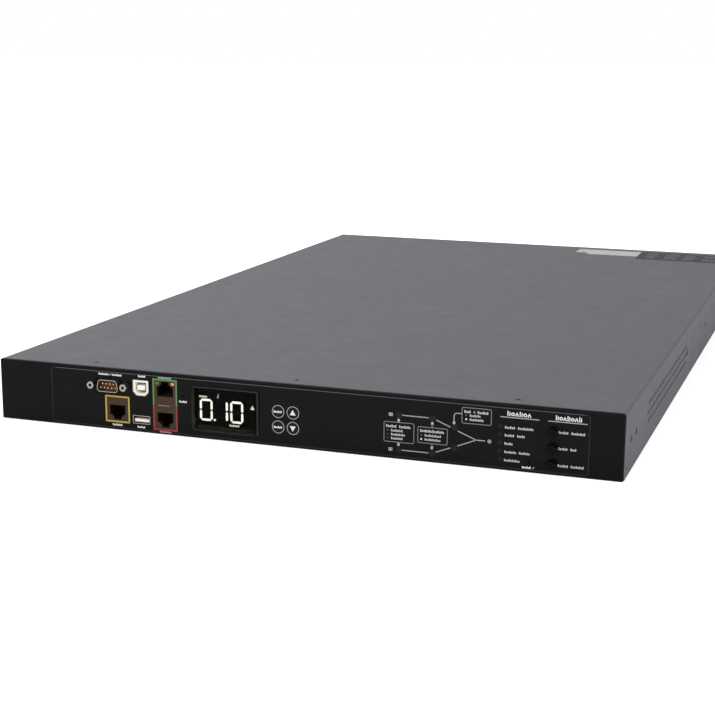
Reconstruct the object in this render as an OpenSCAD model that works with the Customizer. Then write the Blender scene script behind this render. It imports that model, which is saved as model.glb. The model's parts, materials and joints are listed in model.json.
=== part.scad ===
/* [Case] */
// Width across the cover's sides
case_w = 440; // [434:1:450]
// Height of the case, one rack unit less its clearance
case_h = 43.4; // [43.2:0.1:44]
// Depth from the front plate's face to the rear panel's face
case_d = 698.5; // [690:0.5:740]
// Thickness of the folded steel sheet
sheet_t = 1.2; // [1:0.1:1.3]
// Outside radius of the folds
bend_r = 2; // [1.6:0.1:2.4]
// Depth of the folded flanges that take the case screws
flange_d = 20; // [18:1:24]
// Drop of the tray's side walls below its top flange
wall_drop = 3; // [2:0.5:5]
// Lift of the cover's lower edges above the base
cover_lift = 0.4; // [0.3:0.1:1]

/* [Side holes] */
// Height of the bracket holes above the base
bracket_z = 21.8; // [21:0.1:22.6]
// Diameter of the bracket holes
bracket_hole_d = 5; // [4:0.1:6]
// Distance from each end of the case to its first bracket hole
bracket_inset = 24; // [20:1:30]
// Distance between the two holes for one rack bracket
bracket_pitch = 20.5; // [16:0.5:25]
// Distance from the front to the first vent hole
vent_inset = 96.8; // [85:0.1:105]
// Length of a row of vent holes
vent_row_l = 190; // [150:1:190]
// Distance between vent holes in a row
vent_pitch = 7.3; // [6.5:0.1:9]
// Distance between the rows of vent holes
vent_row_pitch = 6.2; // [5.5:0.1:6.4]
// Number of rows of vent holes
vent_rows = 3; // [1:2:3]
// Diameter of a vent hole
vent_hole_d = 3.6; // [3:0.1:4]
// Distance from the last vent hole to the first rail hole
rail_inset = 9; // [7:0.5:12]
// Distance between the two rail holes
rail_pitch = 122; // [100:1:130]

/* [Front plate] */
// Thickness of the front plate
plate_t = 2.5; // [2:0.1:2.8]
// Radius of the plate's front edges
plate_edge_r = 1.6; // [1:0.1:1.9]
// Radius of the plate's corners
plate_corner_r = 2; // [1:0.1:3]
// Thickness of the printed overlay
overlay_t = 0.25; // [0.15:0.05:0.4]
// Width of the overlay
overlay_w = 377; // [370:1:390]
// Height of the overlay
overlay_h = 39.1; // [38.6:0.1:39.5]
// Sideways place of the overlay's middle
overlay_x = 10; // [6:1:14]
// Height of the overlay's middle
overlay_z = 21.4; // [21.2:0.1:21.8]
// Radius of the overlay's corners
overlay_r = 2; // [1:0.1:3]
// Length of the studs behind the plate
plate_stud_l = 5.5; // [5:0.1:7]
// Height of the lower row of studs
stud_low_z = 12; // [10:0.5:14]
// Height of the upper row of studs
stud_high_z = 31; // [29:0.5:33]

/* [Serial port] */
// Sideways place of the serial port
serial_x = -132.8; // [-134:0.1:-132]
// Height of the serial port
serial_z = 31.6; // [31.2:0.1:31.8]
// Width of the shell at its wide side
serial_w = 16.9; // [16.5:0.1:17.2]
// Height of the shell
serial_h = 8.4; // [8:0.1:8.8]
// Reach of the shell in front of the overlay
serial_reach = 4; // [3:0.1:5]
// Width of the flange behind the plate
serial_flange_w = 30.8; // [30.4:0.1:31.2]
// Height of the flange behind the plate
serial_flange_h = 12.5; // [11.8:0.1:12.6]
// Thickness of the flange behind the plate
serial_flange_t = 0.8; // [0.6:0.1:1]
// Distance between the jackscrews
jackscrew_pitch = 25; // [24.6:0.1:25.2]
// Size of the jackscrew's hexagon across its flats
jackscrew_hex = 4.8; // [4.4:0.1:5]
// Reach of the jackscrews in front of the plate
jackscrew_reach = 5.6; // [5:0.1:6.5]
// Diameter of the thread inside a jackscrew
jackscrew_bore_d = 2.4; // [2.2:0.1:2.8]
// Depth of the thread inside a jackscrew
jackscrew_bore_l = 4.6; // [4:0.1:4.8]

/* [USB ports] */
// Sideways place of the square USB port
usb_b_x = -108.7; // [-109.2:0.1:-108.4]
// Width of the square USB port's shell
usb_b_w = 12; // [11.6:0.1:12.2]
// Height of the square USB port's shell
usb_b_h = 11; // [10.6:0.1:11.3]
// Chamfer of the square USB port's lower corners
usb_b_chamfer = 2.6; // [2:0.1:3]
// Reach of the square USB port in front of the overlay
usb_b_reach = 1.2; // [0.6:0.1:2]
// Sideways place of the flat USB port
usb_a_x = -109; // [-109.4:0.1:-108.4]
// Height of the flat USB port's middle
usb_a_z = 9.2; // [9:0.1:10]
// Width of the flat USB port's shell
usb_a_w = 13.1; // [12.8:0.1:13.3]
// Height of the flat USB port's shell
usb_a_h = 5.8; // [5.6:0.1:6]

/* [Network ports] */
// Sideways place of the sensor port
sensor_x = -127.6; // [-128:0.1:-127]
// Height of the sensor port's face above the control board
sensor_lift = 1.9; // [1.6:0.1:2.2]
// Width of the sensor port's face
sensor_w = 16.2; // [16:0.1:16.6]
// Height of the sensor port's face
sensor_h = 16.8; // [16.5:0.1:17.2]
// Sideways place of the stacked network ports
network_x = -91.1; // [-91.6:0.1:-90.8]
// Width of the stacked network ports
network_w = 15.7; // [15.4:0.1:15.9]
// Height of the stacked network ports
network_h = 33.4; // [33.2:0.1:33.8]
// Depth of the network ports from face to back
jack_d = 21; // [20:0.5:24]
// Width of a network port's opening
jack_open_w = 12.2; // [12:0.1:12.4]
// Height of a network port's opening without its latch notch
jack_open_h = 6.9; // [6.8:0.1:7.1]
// Depth of a network port's opening
jack_open_d = 13; // [12.5:0.5:14]
// Height of the latch notch beside the opening
jack_notch_h = 3.4; // [3:0.1:3.5]
// Distance between the contact wires in a network port
contact_pitch = 1.02; // [1:0.01:1.05]
// Diameter of a contact wire
contact_d = 0.5; // [0.4:0.05:0.6]

/* [Display] */
// Sideways place of the display window
window_x = -46.5; // [-46.8:0.1:-46]
// Height of the display window's middle
window_z = 21; // [20.8:0.1:21.2]
// Width of the display window
window_w = 47.6; // [46.6:0.1:47.8]
// Height of the display window
window_h = 30; // [29:0.1:30.4]
// Reach of the display window in front of the overlay
window_reach = 2; // [1.5:0.1:3]
// Width of the light module behind the window
module_w = 43; // [42:0.5:44]
// Height of the light module behind the window
module_h = 24; // [23:0.5:26]
// Width of a digit
digit_w = 9.4; // [9:0.1:9.8]
// Height of a digit
digit_h = 15.2; // [14.6:0.1:16]
// Distance between digits
digit_pitch = 11.2; // [11:0.1:11.6]
// Width of a segment
segment_w = 1.5; // [1.2:0.1:1.7]
// Thickness of a segment
segment_t = 0.4; // [0.3:0.1:0.6]

/* [Keys and buttons] */
// Sideways place of the middle of the four keys
keys_x = -3; // [-3.6:0.1:-2.4]
// Height of the middle of the four keys
keys_z = 19; // [18.4:0.1:19.6]
// Distance between keys
key_pitch = 10.5; // [10.2:0.1:10.8]
// Diameter of a key
key_d = 7.2; // [6.8:0.1:7.6]
// Reach of a key in front of the overlay
key_reach = 0.4; // [0.3:0.1:0.8]
// Travel of a key
key_travel = 0.5; // [0.3:0.1:0.5]
// Sideways place of the three buttons
buttons_x = 175.5; // [175:0.1:176]
// Height of the middle button
buttons_z = 17.7; // [17.5:0.1:18]
// Distance between buttons
button_pitch = 10.5; // [10.2:0.1:10.6]
// Diameter of a button
button_d = 6.2; // [5.8:0.1:6.6]
// Reach of a button in front of the overlay
button_reach = 5; // [4:0.1:6]
// Travel of a button
button_travel = 0.8; // [0.4:0.1:0.8]
// Thickness of the collar that keeps a key or button behind the plate
collar_t = 0.9; // [0.7:0.1:1]
// Width of the collar's rim around a key or button
collar_rim = 0.9; // [0.7:0.1:1]
// Diameter of the stems that work the switches
stem_d = 3.2; // [3:0.1:3.4]
// Reach of a stem into its switch
stem_reach = 1.6; // [1.4:0.1:1.8]
// Width of a push switch
switch_w = 6; // [5.6:0.1:6]
// Height of a push switch
switch_h = 4; // [3.9:0.1:4.1]
// Diameter of the pinholes for the reset switches
pinhole_d = 1.8; // [1.4:0.1:2.2]

/* [Lights] */
// Sideways place of the source lights in the flow diagram
source_light_x = 75.4; // [75:0.1:76]
// Sideways place of the switch lights in the flow diagram
switch_light_x = 98; // [97.5:0.1:98.5]
// Sideways place of the output lights in the flow diagram
output_light_x = 112.4; // [112:0.1:113]
// Height of the flow diagram's middle
diagram_z = 18.1; // [17.8:0.1:18.4]
// Distance between the upper and the lower lights in the flow diagram
diagram_spread = 23.2; // [22.4:0.1:23.6]
// Distance between the two output lights
output_spread = 13.2; // [12.6:0.1:13.8]
// Diameter of a light in the flow diagram
diagram_light_d = 4; // [3.4:0.1:4.2]
// Sideways place of the alarm lights
alarm_x = 142.2; // [141.5:0.1:143]
// Distance between alarm lights
alarm_pitch = 5.35; // [5.2:0.05:5.4]
// Number of alarm lights
alarm_count = 5; // [1:2:5]
// Diameter of an alarm light
alarm_light_d = 2.6; // [2:0.1:2.8]

/* [Boards] */
// Thickness of the circuit boards
board_t = 1.6; // [1.4:0.1:1.8]
// Distance from the front plate's face to the upright boards
panel_board_d = 10; // [9.9:0.1:10.1]
// Height of the upright boards
panel_board_h = 34.8; // [34.6:0.1:34.8]
// Height of the upright boards' middle
panel_board_z = 21.5; // [21.4:0.1:21.5]
// Gap below the control board
control_gap = 1.6; // [1.5:0.1:1.8]
// Depth of the control board
control_board_d = 84; // [82:1:86]
// Height of the serial board's underside
serial_board_z = 37.3; // [37.2:0.1:37.4]
// Depth of the serial board
serial_board_d = 42; // [40:1:44]
// Gap below the power board
power_gap = 6; // [5:0.5:7]
// Depth of the power board
power_board_d = 288; // [280:1:290]
// Distance from the power board to the rear panel
power_inset = 98; // [96:1:100]
// Distance of the power board from the tray's side walls
power_side_gap = 11; // [8:1:12]
// Width of the flat cable
ribbon_w = 12; // [10:0.5:14]

/* [Power parts] */
// Length of the heat sink across the case
sink_w = 240; // [236:1:250]
// Depth of the heat sink
sink_d = 184; // [180:1:186]
// Height of the heat sink
sink_h = 18; // [16:0.5:18]
// Thickness of the heat sink's base
sink_base_t = 5; // [4:0.5:6]
// Thickness of a fin
fin_t = 1.5; // [1.2:0.1:2]
// Distance between fins
fin_pitch = 6; // [5:0.5:8]
// Distance from the front plate's face to the heat sink
sink_inset = 104; // [100:1:106]
// Length of a thyristor module
thyristor_l = 94; // [90:1:96]
// Width of a thyristor module
thyristor_w = 34; // [32:0.5:36]
// Height of a thyristor module with its terminals
thyristor_h = 18; // [17:0.5:18.5]
// Length of a relay
relay_l = 30; // [28:0.5:32]
// Width of a relay
relay_w = 26; // [24:0.5:28]
// Height of a relay
relay_h = 25; // [22:0.5:26]
// Diameter of a capacitor
capacitor_d = 18; // [14:0.5:20]
// Height of a capacitor
capacitor_h = 26; // [22:0.5:28]
// Length of a supply transformer
transformer_l = 44; // [40:0.5:46]
// Width of a supply transformer
transformer_w = 38; // [34:0.5:40]
// Height of a supply transformer
transformer_h = 27; // [24:0.5:28]
// Diameter of a fuse
fuse_d = 10.3; // [9.5:0.1:11]
// Length of a fuse
fuse_l = 38; // [34:0.5:42]
// Width of a copper bar
bar_w = 10; // [8:0.5:11]
// Thickness of a copper bar
bar_t = 1.5; // [1:0.1:1.8]
// Diameter of a power wire
wire_d = 4.4; // [3.6:0.1:4.8]

/* [Rear panel] */
// Height of the power connectors' middle
rear_z = 21.7; // [21.2:0.1:22.2]
// Sideways place of the first inlet
inlet_x = 190; // [188:1:191]
// Distance between the two inlets
inlet_pitch = 44; // [42:1:45]
// Width of the face of an inlet or of the large outlet
inlet_face_w = 38; // [37:0.5:39]
// Height of the face of an inlet or of the large outlet
inlet_face_h = 28; // [27.5:0.5:29]
// Sideways place of the large outlet
large_outlet_x = 102; // [101:1:103]
// Sideways place of the first small outlet
small_outlet_x = 66; // [64:1:66]
// Distance between small outlets
small_outlet_pitch = 31; // [31:0.1:31.5]
// Number of small outlets
small_outlet_count = 8; // [6:1:8]
// Width of a small outlet's face
small_face_w = 30.4; // [30:0.1:30.6]
// Height of a small outlet's face
small_face_h = 25; // [24.5:0.1:26]
// Thickness of a connector's face in front of the panel
face_t = 2; // [1.5:0.1:3]
// Depth of an inlet behind the panel
inlet_d = 26; // [24:0.5:28]
// Depth of an outlet behind the panel
outlet_d = 22; // [20:0.5:24]
// Sideways place of the earth stud
earth_x = -184; // [-190:1:-182]
// Diameter of the earth stud
earth_stud_d = 5; // [4:0.5:6]
// Reach of the earth stud behind the panel's face
earth_stud_l = 13; // [12:0.5:15]

/* [Labels] */
// Thickness of the labels
label_t = 0.15; // [0.1:0.05:0.3]
// Width of the bare label
bare_label_w = 65; // [60:1:70]
// Depth of the bare label
bare_label_d = 32; // [28:1:34]
// Width of the dark label
dark_label_w = 88; // [80:1:90]
// Depth of the dark label
dark_label_d = 52; // [46:1:54]
// Distance from the dark label to the case's side
dark_label_inset = 9; // [6:1:12]
// Distance from the labels to the rear edge
label_inset = 16; // [15:0.5:18]

/* [Fasteners] */
// Head diameter of a case screw
case_head_d = 5.6; // [5.2:0.1:6]
// Length of a case screw with its head
case_screw_l = 4; // [3.6:0.1:4.2]
// Thread diameter of the case and board screws
screw_d = 3; // [2.8:0.1:3]
// Distance from the middle to the outer screws of the cover
cover_screw_x = 150; // [145:1:155]
// Distance from the front to the cover's front screws
cover_screw_inset = 13; // [12:0.5:14]
// Height of the screws low on the sides
side_screw_z = 6; // [5:0.5:8]
// Distance from each end to the first screw on the sides
side_screw_inset = 12; // [11:0.5:14]
// Head diameter of a board screw
board_head_d = 5.4; // [5:0.1:5.6]
// Head height of a board screw
board_head_h = 1.8; // [1.5:0.1:2]
// Diameter of a board pillar
pillar_d = 4.4; // [4.2:0.1:4.4]
// Size of a plate nut across its flats
plate_nut_hex = 5.5; // [5.2:0.1:6]
// Height of a plate nut
plate_nut_h = 2.2; // [1.8:0.1:2.4]

/* [Clearances] */
// Gap between the cover and the tray
cover_gap = 0.3; // [0.2:0.05:0.4]
// Gap round a connector in its cutout
port_gap = 0.15; // [0.1:0.05:0.25]
// Gap round a moving key, button or stem
moving_gap = 0.3; // [0.25:0.05:0.35]
// Gap round a screw or stud in its hole
thread_gap = 0.1; // [0.05:0.05:0.2]

/* [Hidden] */
$fn = 48;
// A little more than nothing, so that a cut passes its surface
cut = 0.5;
half_w = case_w / 2;
front_y = -case_d / 2;
rear_y = case_d / 2;
bend_in = bend_r - sheet_t;
plate_back = front_y + plate_t;
wall_back = plate_back + sheet_t;
face_y = front_y - overlay_t;
floor_z = sheet_t;
tray_half_w = half_w - sheet_t - cover_gap;
wall_half_w = tray_half_w - bend_r - cover_gap;
flange_top = case_h - sheet_t - cover_gap;
flange_z = flange_top - sheet_t;
wall_top = flange_top - wall_drop;
screw_r = screw_d / 2;
board_y = front_y + panel_board_d;
control_z = floor_z + control_gap;
control_top = control_z + board_t;
serial_top = serial_board_z + board_t;
power_z = floor_z + power_gap;
power_top = power_z + board_t;
power_back = rear_y - power_inset;
power_front = power_back - power_board_d;
power_half_w = tray_half_w - sheet_t - power_side_gap;
sink_front = front_y + sink_inset;
sink_back = sink_front + sink_d;
sink_top = floor_z + sink_h;
vent_z = bracket_z;
vent_count = floor(vent_row_l / vent_pitch) + 1;
rail_inset_y = vent_inset + vent_row_l + rail_inset;

// Places of the cover's screws
cover_screw_y = [front_y + cover_screw_inset, rear_y - cover_screw_inset + 4];
cover_screws_x = [-cover_screw_x, 0, cover_screw_x];
// Places of the screws along a side
side_step = (case_d - 2 * side_screw_inset) / 3;
side_screws_y = [for (i = [0:3]) front_y + side_screw_inset + i * side_step];
// Places of the bracket holes and rail holes along a side
bracket_holes_y = [
    front_y + bracket_inset,
    front_y + bracket_inset + bracket_pitch,
    front_y + rail_inset_y,
    front_y + rail_inset_y + rail_pitch,
    rear_y - bracket_inset - bracket_pitch,
    rear_y - bracket_inset,
];
// Places of the screws that come up through the floor
sink_screw_inset = 3;
sink_screws_x = [-sink_w / 2 + 12, sink_w / 2 - 12];
sink_screws_y = [sink_front + sink_screw_inset, sink_back - sink_screw_inset];
panel_screw_y = rear_y - flange_d / 2;
// Places of the plate's studs
plate_studs_x = [-188, 38, half_w - 12];
plate_studs_z = [stud_low_z, stud_high_z];
plate_stud_r = 1.5;
// Places of the key, button and light centres
keys = [
    [keys_x - key_pitch / 2, keys_z + key_pitch / 2],
    [keys_x - key_pitch / 2, keys_z - key_pitch / 2],
    [keys_x + key_pitch / 2, keys_z + key_pitch / 2],
    [keys_x + key_pitch / 2, keys_z - key_pitch / 2],
];
buttons = [for (i = [1, 0, -1]) [buttons_x, buttons_z + i * button_pitch]];
left_reset = [-77, 28.6];
right_reset = [160.6, 7.5];
diagram_lights = [for (s = [-1, 1]) each [
    [source_light_x, diagram_z + s * diagram_spread / 2],
    [switch_light_x, diagram_z + s * diagram_spread / 2],
    [output_light_x, diagram_z + s * output_spread / 2],
]];
alarm_middle = (alarm_count - 1) / 2;
alarm_lights = [for (i = [0:alarm_count - 1]) [alarm_x, diagram_z + (i - alarm_middle) * alarm_pitch]];
// Corners of the upright boards and the places of their pillars
display_board_x = [-81, 13.5];
indicator_board_x = [61.5, 198.5];
panel_pillars = [
    [-73, 9.5], [-73, 36],
    [10.5, 9.5], [10.5, 36],
    [64.5, 12], [64.5, 36],
    [195.5, 12], [195.5, 36],
];
// Openings in the tray's front wall, behind the ports and behind the lights
wall_openings_x = [[-156, 16], [60, 200]];
wall_opening_z = [2.6, 39.4];
// The control board and the serial board above it
control_board_x = [-158, -82.5];
control_board_y = front_y + 6;
serial_board_x = [-157, -100.5];
control_screws = [
    [control_board_x[0] + 4, control_board_y + 8],
    [control_board_x[0] + 4, control_board_y + control_board_d - 4],
    [control_board_x[1] - 4, control_board_y + control_board_d - 4],
];
serial_pillars = [
    [serial_board_x[0] + 4, control_board_y + serial_board_d - 4],
    [serial_board_x[1] - 4, control_board_y + serial_board_d - 4],
];
power_screws = [for (x = [-1, 0, 1]) for (y = [0, 0.5, 1])
    [x * (power_half_w - 6), power_front + 8 + y * (power_board_d - 16)]];
// Derived sizes of the ports
usb_b_z = serial_board_z - usb_b_h / 2;
sensor_z0 = control_top + sensor_lift;
sensor_open_z = sensor_z0 + 4.7;
network_low_z = control_top + 4.3;
network_high_z = control_top + network_h - 4 - jack_open_h;
jack_back = face_y + jack_d;
// Derived sizes of the keys, buttons and switches
switch_front = board_y - switch_h;
switch_bore_l = 3;
collar_y = plate_back + moving_gap;
// The power wires, bars and their fixings
wire_r = wire_d / 2;
blade_row = 4;
blade_pitch = 13;
wire_low_z = rear_z - blade_row;
wire_high_z = rear_z + blade_row;
inlets_x = [inlet_x, inlet_x - inlet_pitch];
block_y = power_back - 40;
block_l = 14;
small_outlets_x = [for (i = [0:small_outlet_count - 1]) small_outlet_x - i * small_outlet_pitch];
outlet_back = rear_y - sheet_t - outlet_d;
inlet_back = rear_y - sheet_t - inlet_d;
tab_l = 8;
outlet_bar_t = 1;
outlet_block_x = 0;
thyristors = [for (x = [-1, 1]) for (y = [-1, 1])
    [x * sink_w / 4, sink_front + sink_d / 2 + y * sink_d / 4]];
terminal_step = 26;
thyristor_top = sink_top + thyristor_h;
bars = [for (x = [-1, 1]) each [
    [x * (sink_w / 4 + terminal_step), sink_front + sink_d / 4],
    [x * (sink_w / 4 - terminal_step), sink_front + sink_d * 3 / 4],
]];
relay_xs = [-165, -115, -65, 65, 115, 165];
relay_y = power_front + 46;

// Rectangle from the origin with its own radius at each corner, counted round from the lower left
module soft_rect(size, radii) {
    w = size[0];
    h = size[1];
    spots = [
        [radii[0], radii[0]],
        [w - radii[1], radii[1]],
        [w - radii[2], h - radii[2]],
        [radii[3], h - radii[3]],
    ];
    polygon([
        [spots[0][0], 0], [spots[1][0], 0],
        [w, spots[1][1]], [w, spots[2][1]],
        [spots[2][0], h], [spots[3][0], h],
        [0, spots[3][1]], [0, spots[0][1]],
    ]);
    for (i = [0:3])
        if (radii[i] > 0)
            translate(spots[i]) circle(radii[i]);
}

// Rectangle about a centre, with one radius at its corners
module centred_rect(at, size, r) {
    translate([at[0] - size[0] / 2, at[1] - size[1] / 2])
        soft_rect(size, [r, r, r, r]);
}

// Points of the arc that rounds corner b between a and c
function corner(a, b, c, r, n) =
    let (
        u = (a - b) / norm(a - b),
        v = (c - b) / norm(c - b),
        half = acos(u * v) / 2,
        o = b + (u + v) / norm(u + v) * r / sin(half),
        s = b + u * r / tan(half) - o,
        e = b + v * r / tan(half) - o,
        from = atan2(s[1], s[0]),
        turn = (atan2(e[1], e[0]) - from + 900) % 360 - 180
    )
    [for (k = [0:n]) o + r * [cos(from + turn * k / n), sin(from + turn * k / n)]];

// Outline with every corner rounded
function rounded(points, r, n = 5) =
    let (m = len(points))
    [for (i = [0:m - 1]) each corner(points[(i + m - 1) % m], points[i], points[(i + 1) % m], r, n)];

// Extrude an outline drawn in X and Z from y0 to y1
module along_y(y0, y1) {
    translate([0, y1, 0])
        rotate([90, 0, 0])
            linear_extrude(y1 - y0) children();
}

// Extrude an outline drawn in Y and Z from x0 to x1
module along_x(x0, x1) {
    translate([x0, 0, 0])
        rotate([90, 0, 90])
            linear_extrude(x1 - x0) children();
}

module rod_y(at, r, y0, y1) {
    translate([at[0], y1, at[1]])
        rotate([90, 0, 0])
            cylinder(r = r, h = y1 - y0);
}

module rod_z(at, r, z0, z1) {
    translate([at[0], at[1], z0])
        cylinder(r = r, h = z1 - z0);
}

module block(low, high) {
    translate(low) cube(high - low);
}

module hex_y(at, flats, y0, y1) {
    translate([at[0], y1, at[1]])
        rotate([90, 0, 0])
            cylinder(d = flats / cos(30), h = y1 - y0, $fn = 6);
}

// Countersunk screw that points down from the origin, with a cross recess
module case_screw() {
    head_h = (case_head_d - screw_d) / 2;
    recess = [1, case_head_d * 0.55];
    difference() {
        union() {
            translate([0, 0, -head_h])
                cylinder(d1 = screw_d, d2 = case_head_d, h = head_h);
            translate([0, 0, -case_screw_l])
                cylinder(d = screw_d, h = case_screw_l - head_h);
        }
        for (turn = [0, 90])
            rotate(turn)
                translate([-recess[0] / 2, -recess[1] / 2, -0.8])
                    cube([recess[0], recess[1], 0.8 + cut]);
    }
}

// The hole that takes a case screw: countersink, shank and thread
module case_screw_hole() {
    sink_h = (case_head_d - screw_d) / 2;
    translate([0, 0, -sink_h - thread_gap])
        cylinder(d1 = screw_d, d2 = case_head_d + 2 * thread_gap, h = sink_h + thread_gap);
    translate([0, 0, -case_screw_l - cut])
        cylinder(d = screw_d + 2 * thread_gap, h = case_screw_l + cut);
    cylinder(d = case_head_d + 2 * thread_gap, h = cut);
}

// Put a screw or its hole at every place on the case
module at_case_screws() {
    for (x = cover_screws_x)
        for (y = cover_screw_y)
            translate([x, y, case_h]) children();
    for (side = [-1, 1])
        for (y = side_screws_y)
            translate([side * half_w, y, side_screw_z])
                rotate([0, side * 90, 0]) children();
    for (x = sink_screws_x)
        for (y = sink_screws_y)
            translate([x, y, 0])
                rotate([180, 0, 0]) children();
    for (x = cover_screws_x)
        translate([x, panel_screw_y, 0])
            rotate([180, 0, 0]) children();
}

module side_holes() {
    for (y = bracket_holes_y)
        translate([-half_w - cut, y, bracket_z])
            rotate([0, 90, 0])
                cylinder(d = bracket_hole_d, h = case_w + 2 * cut);
}

module base_tray() {
    outer_w = 2 * tray_half_w;
    vent_from = front_y + vent_inset - vent_hole_d;
    vent_to = vent_from + vent_row_l + 2 * vent_hole_d;
    vent_half_h = (vent_rows - 1) / 2 * vent_row_pitch + vent_hole_d;
    color("lightgrey")
    difference() {
        union() {
            along_y(plate_back + bend_r, rear_y)
                difference() {
                    translate([-tray_half_w, 0])
                        soft_rect([outer_w, wall_top], [bend_r, bend_r, 0, 0]);
                    translate([sheet_t - tray_half_w, sheet_t])
                        soft_rect([outer_w - 2 * sheet_t, wall_top], [bend_in, bend_in, 0, 0]);
                }
            along_x(-wall_half_w, wall_half_w)
                difference() {
                    translate([plate_back, 0])
                        soft_rect([flange_d, flange_top], [bend_r, 0, 0, bend_r]);
                    translate([wall_back, sheet_t])
                        soft_rect([flange_d, flange_top - 2 * sheet_t], [bend_in, 0, 0, bend_in]);
                }
        }
        for (span = wall_openings_x)
            along_y(plate_back - cut, wall_back + cut)
                translate([span[0], wall_opening_z[0]])
                    soft_rect([span[1] - span[0], wall_opening_z[1] - wall_opening_z[0]], [1, 1, 1, 1]);
        for (x = plate_studs_x)
            for (z = plate_studs_z)
                rod_y([x, z], plate_stud_r + 2 * thread_gap, plate_back - cut, wall_back + cut);
        for (side = [-1, 1])
            along_x(side * tray_half_w - 2 * sheet_t, side * tray_half_w + 2 * sheet_t)
                translate([vent_from, vent_z - vent_half_h])
                    soft_rect([vent_to - vent_from, 2 * vent_half_h], [2, 2, 2, 2]);
        side_holes();
        at_case_screws() case_screw_hole();
    }
}

module top_cover() {
    color("dimgrey")
    difference() {
        along_y(plate_back, rear_y)
            difference() {
                translate([-half_w, cover_lift])
                    soft_rect([case_w, case_h - cover_lift], [0, 0, bend_r, bend_r]);
                translate([sheet_t - half_w, -cut])
                    soft_rect([case_w - 2 * sheet_t, case_h - sheet_t + cut], [0, 0, bend_in, bend_in]);
            }
        for (row = [0:vent_rows - 1]) {
            shift = row % 2 == 0 ? 0 : -vent_pitch / 2;
            extra = row % 2;
            z = vent_z + (row - (vent_rows - 1) / 2) * vent_row_pitch;
            for (i = [0:vent_count - 1 + extra])
                translate([-half_w - cut, front_y + vent_inset + shift + i * vent_pitch, z])
                    rotate([0, 90, 0])
                        cylinder(d = vent_hole_d, h = case_w + 2 * cut, $fn = 24);
        }
        side_holes();
        at_case_screws() case_screw_hole();
    }
}

// Outline of the serial shell, wider at its foot, grown by a gap
module serial_outline(grow) {
    half_low = serial_w / 2;
    half_high = half_low - serial_h * tan(10);
    half_h = serial_h / 2;
    translate([serial_x, serial_z])
        polygon(rounded([
            [-half_low - grow * 1.1, -half_h - grow], [half_low + grow * 1.1, -half_h - grow],
            [half_high + grow, half_h + grow], [-half_high - grow, half_h + grow],
        ], 2.4 + grow));
}

// Outline of the square USB shell, with its lower corners cut, grown by a gap
module usb_b_outline(grow) {
    half = usb_b_w / 2 + grow;
    half_h = usb_b_h / 2 + grow;
    c = usb_b_chamfer;
    translate([usb_b_x, usb_b_z])
        polygon(rounded([
            [-half + c, -half_h], [half - c, -half_h], [half, -half_h + c],
            [half, half_h], [-half, half_h], [-half, -half_h + c],
        ], 0.6 + grow, 3));
}

module usb_a_outline(grow) {
    centred_rect([usb_a_x, usb_a_z], [usb_a_w + 2 * grow, usb_a_h + 2 * grow], 0.5 + grow);
}

// Cutouts that the overlay and the plate share
module panel_cutouts(y0, y1) {
    along_y(y0, y1) {
        serial_outline(port_gap);
        usb_b_outline(port_gap);
        usb_a_outline(port_gap);
        centred_rect([sensor_x, sensor_z0 + sensor_h / 2],
            [sensor_w + 2 * port_gap, sensor_h + 2 * port_gap], 0.4);
        centred_rect([network_x, control_top + network_h / 2],
            [network_w + 2 * port_gap, network_h + 2 * port_gap], 0.4);
        centred_rect([window_x, window_z], [window_w + 2 * port_gap, window_h + 2 * port_gap], 1);
    }
    for (at = keys)
        rod_y(at, key_d / 2 + moving_gap, y0, y1);
    for (at = buttons)
        rod_y(at, button_d / 2 + moving_gap, y0, y1);
    for (at = [left_reset, right_reset])
        rod_y(at, pinhole_d / 2, y0, y1);
    for (at = diagram_lights)
        rod_y(at, diagram_light_d / 2 + port_gap, y0, y1);
    for (at = alarm_lights)
        rod_y(at, alarm_light_d / 2 + port_gap, y0, y1);
}

module front_plate() {
    e = plate_edge_r;
    c = plate_corner_r;
    color("black")
    difference() {
        union() {
            intersection() {
                along_y(front_y, plate_back)
                    translate([-half_w, 0]) soft_rect([case_w, case_h], [c, c, c, c]);
                along_x(-half_w, half_w)
                    translate([front_y, 0]) soft_rect([plate_t, case_h], [e, 0, 0, e]);
                linear_extrude(case_h)
                    translate([-half_w, front_y]) soft_rect([case_w, plate_t], [e, e, 0, 0]);
            }
            for (x = plate_studs_x)
                for (z = plate_studs_z)
                    rod_y([x, z], plate_stud_r, plate_back - cut, plate_back + plate_stud_l);
        }
        panel_cutouts(front_y - cut, plate_back + cut);
        for (side = [-1, 1])
            rod_y([serial_x + side * jackscrew_pitch / 2, serial_z],
                screw_r + thread_gap, front_y - cut, plate_back + cut);
    }
}

module front_overlay() {
    color("#1d1d1f")
    difference() {
        along_y(face_y, front_y)
            centred_rect([overlay_x, overlay_z], [overlay_w, overlay_h], overlay_r);
        panel_cutouts(face_y - cut, front_y + cut);
        for (side = [-1, 1])
            rod_y([serial_x + side * jackscrew_pitch / 2, serial_z],
                jackscrew_hex / 2 / cos(30) + port_gap, face_y - cut, front_y + cut);
    }
}

// Outline of a power connector's body that passes through the rear panel
module large_body(x, grow) {
    centred_rect([x, rear_z], [inlet_face_w - 4 + 2 * grow, inlet_face_h - 4 + 2 * grow], 1.5);
}

module small_body(x, grow) {
    centred_rect([x, rear_z], [small_face_w - 1.4 + 2 * grow, small_face_h - 2 + 2 * grow], 1);
}

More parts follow.
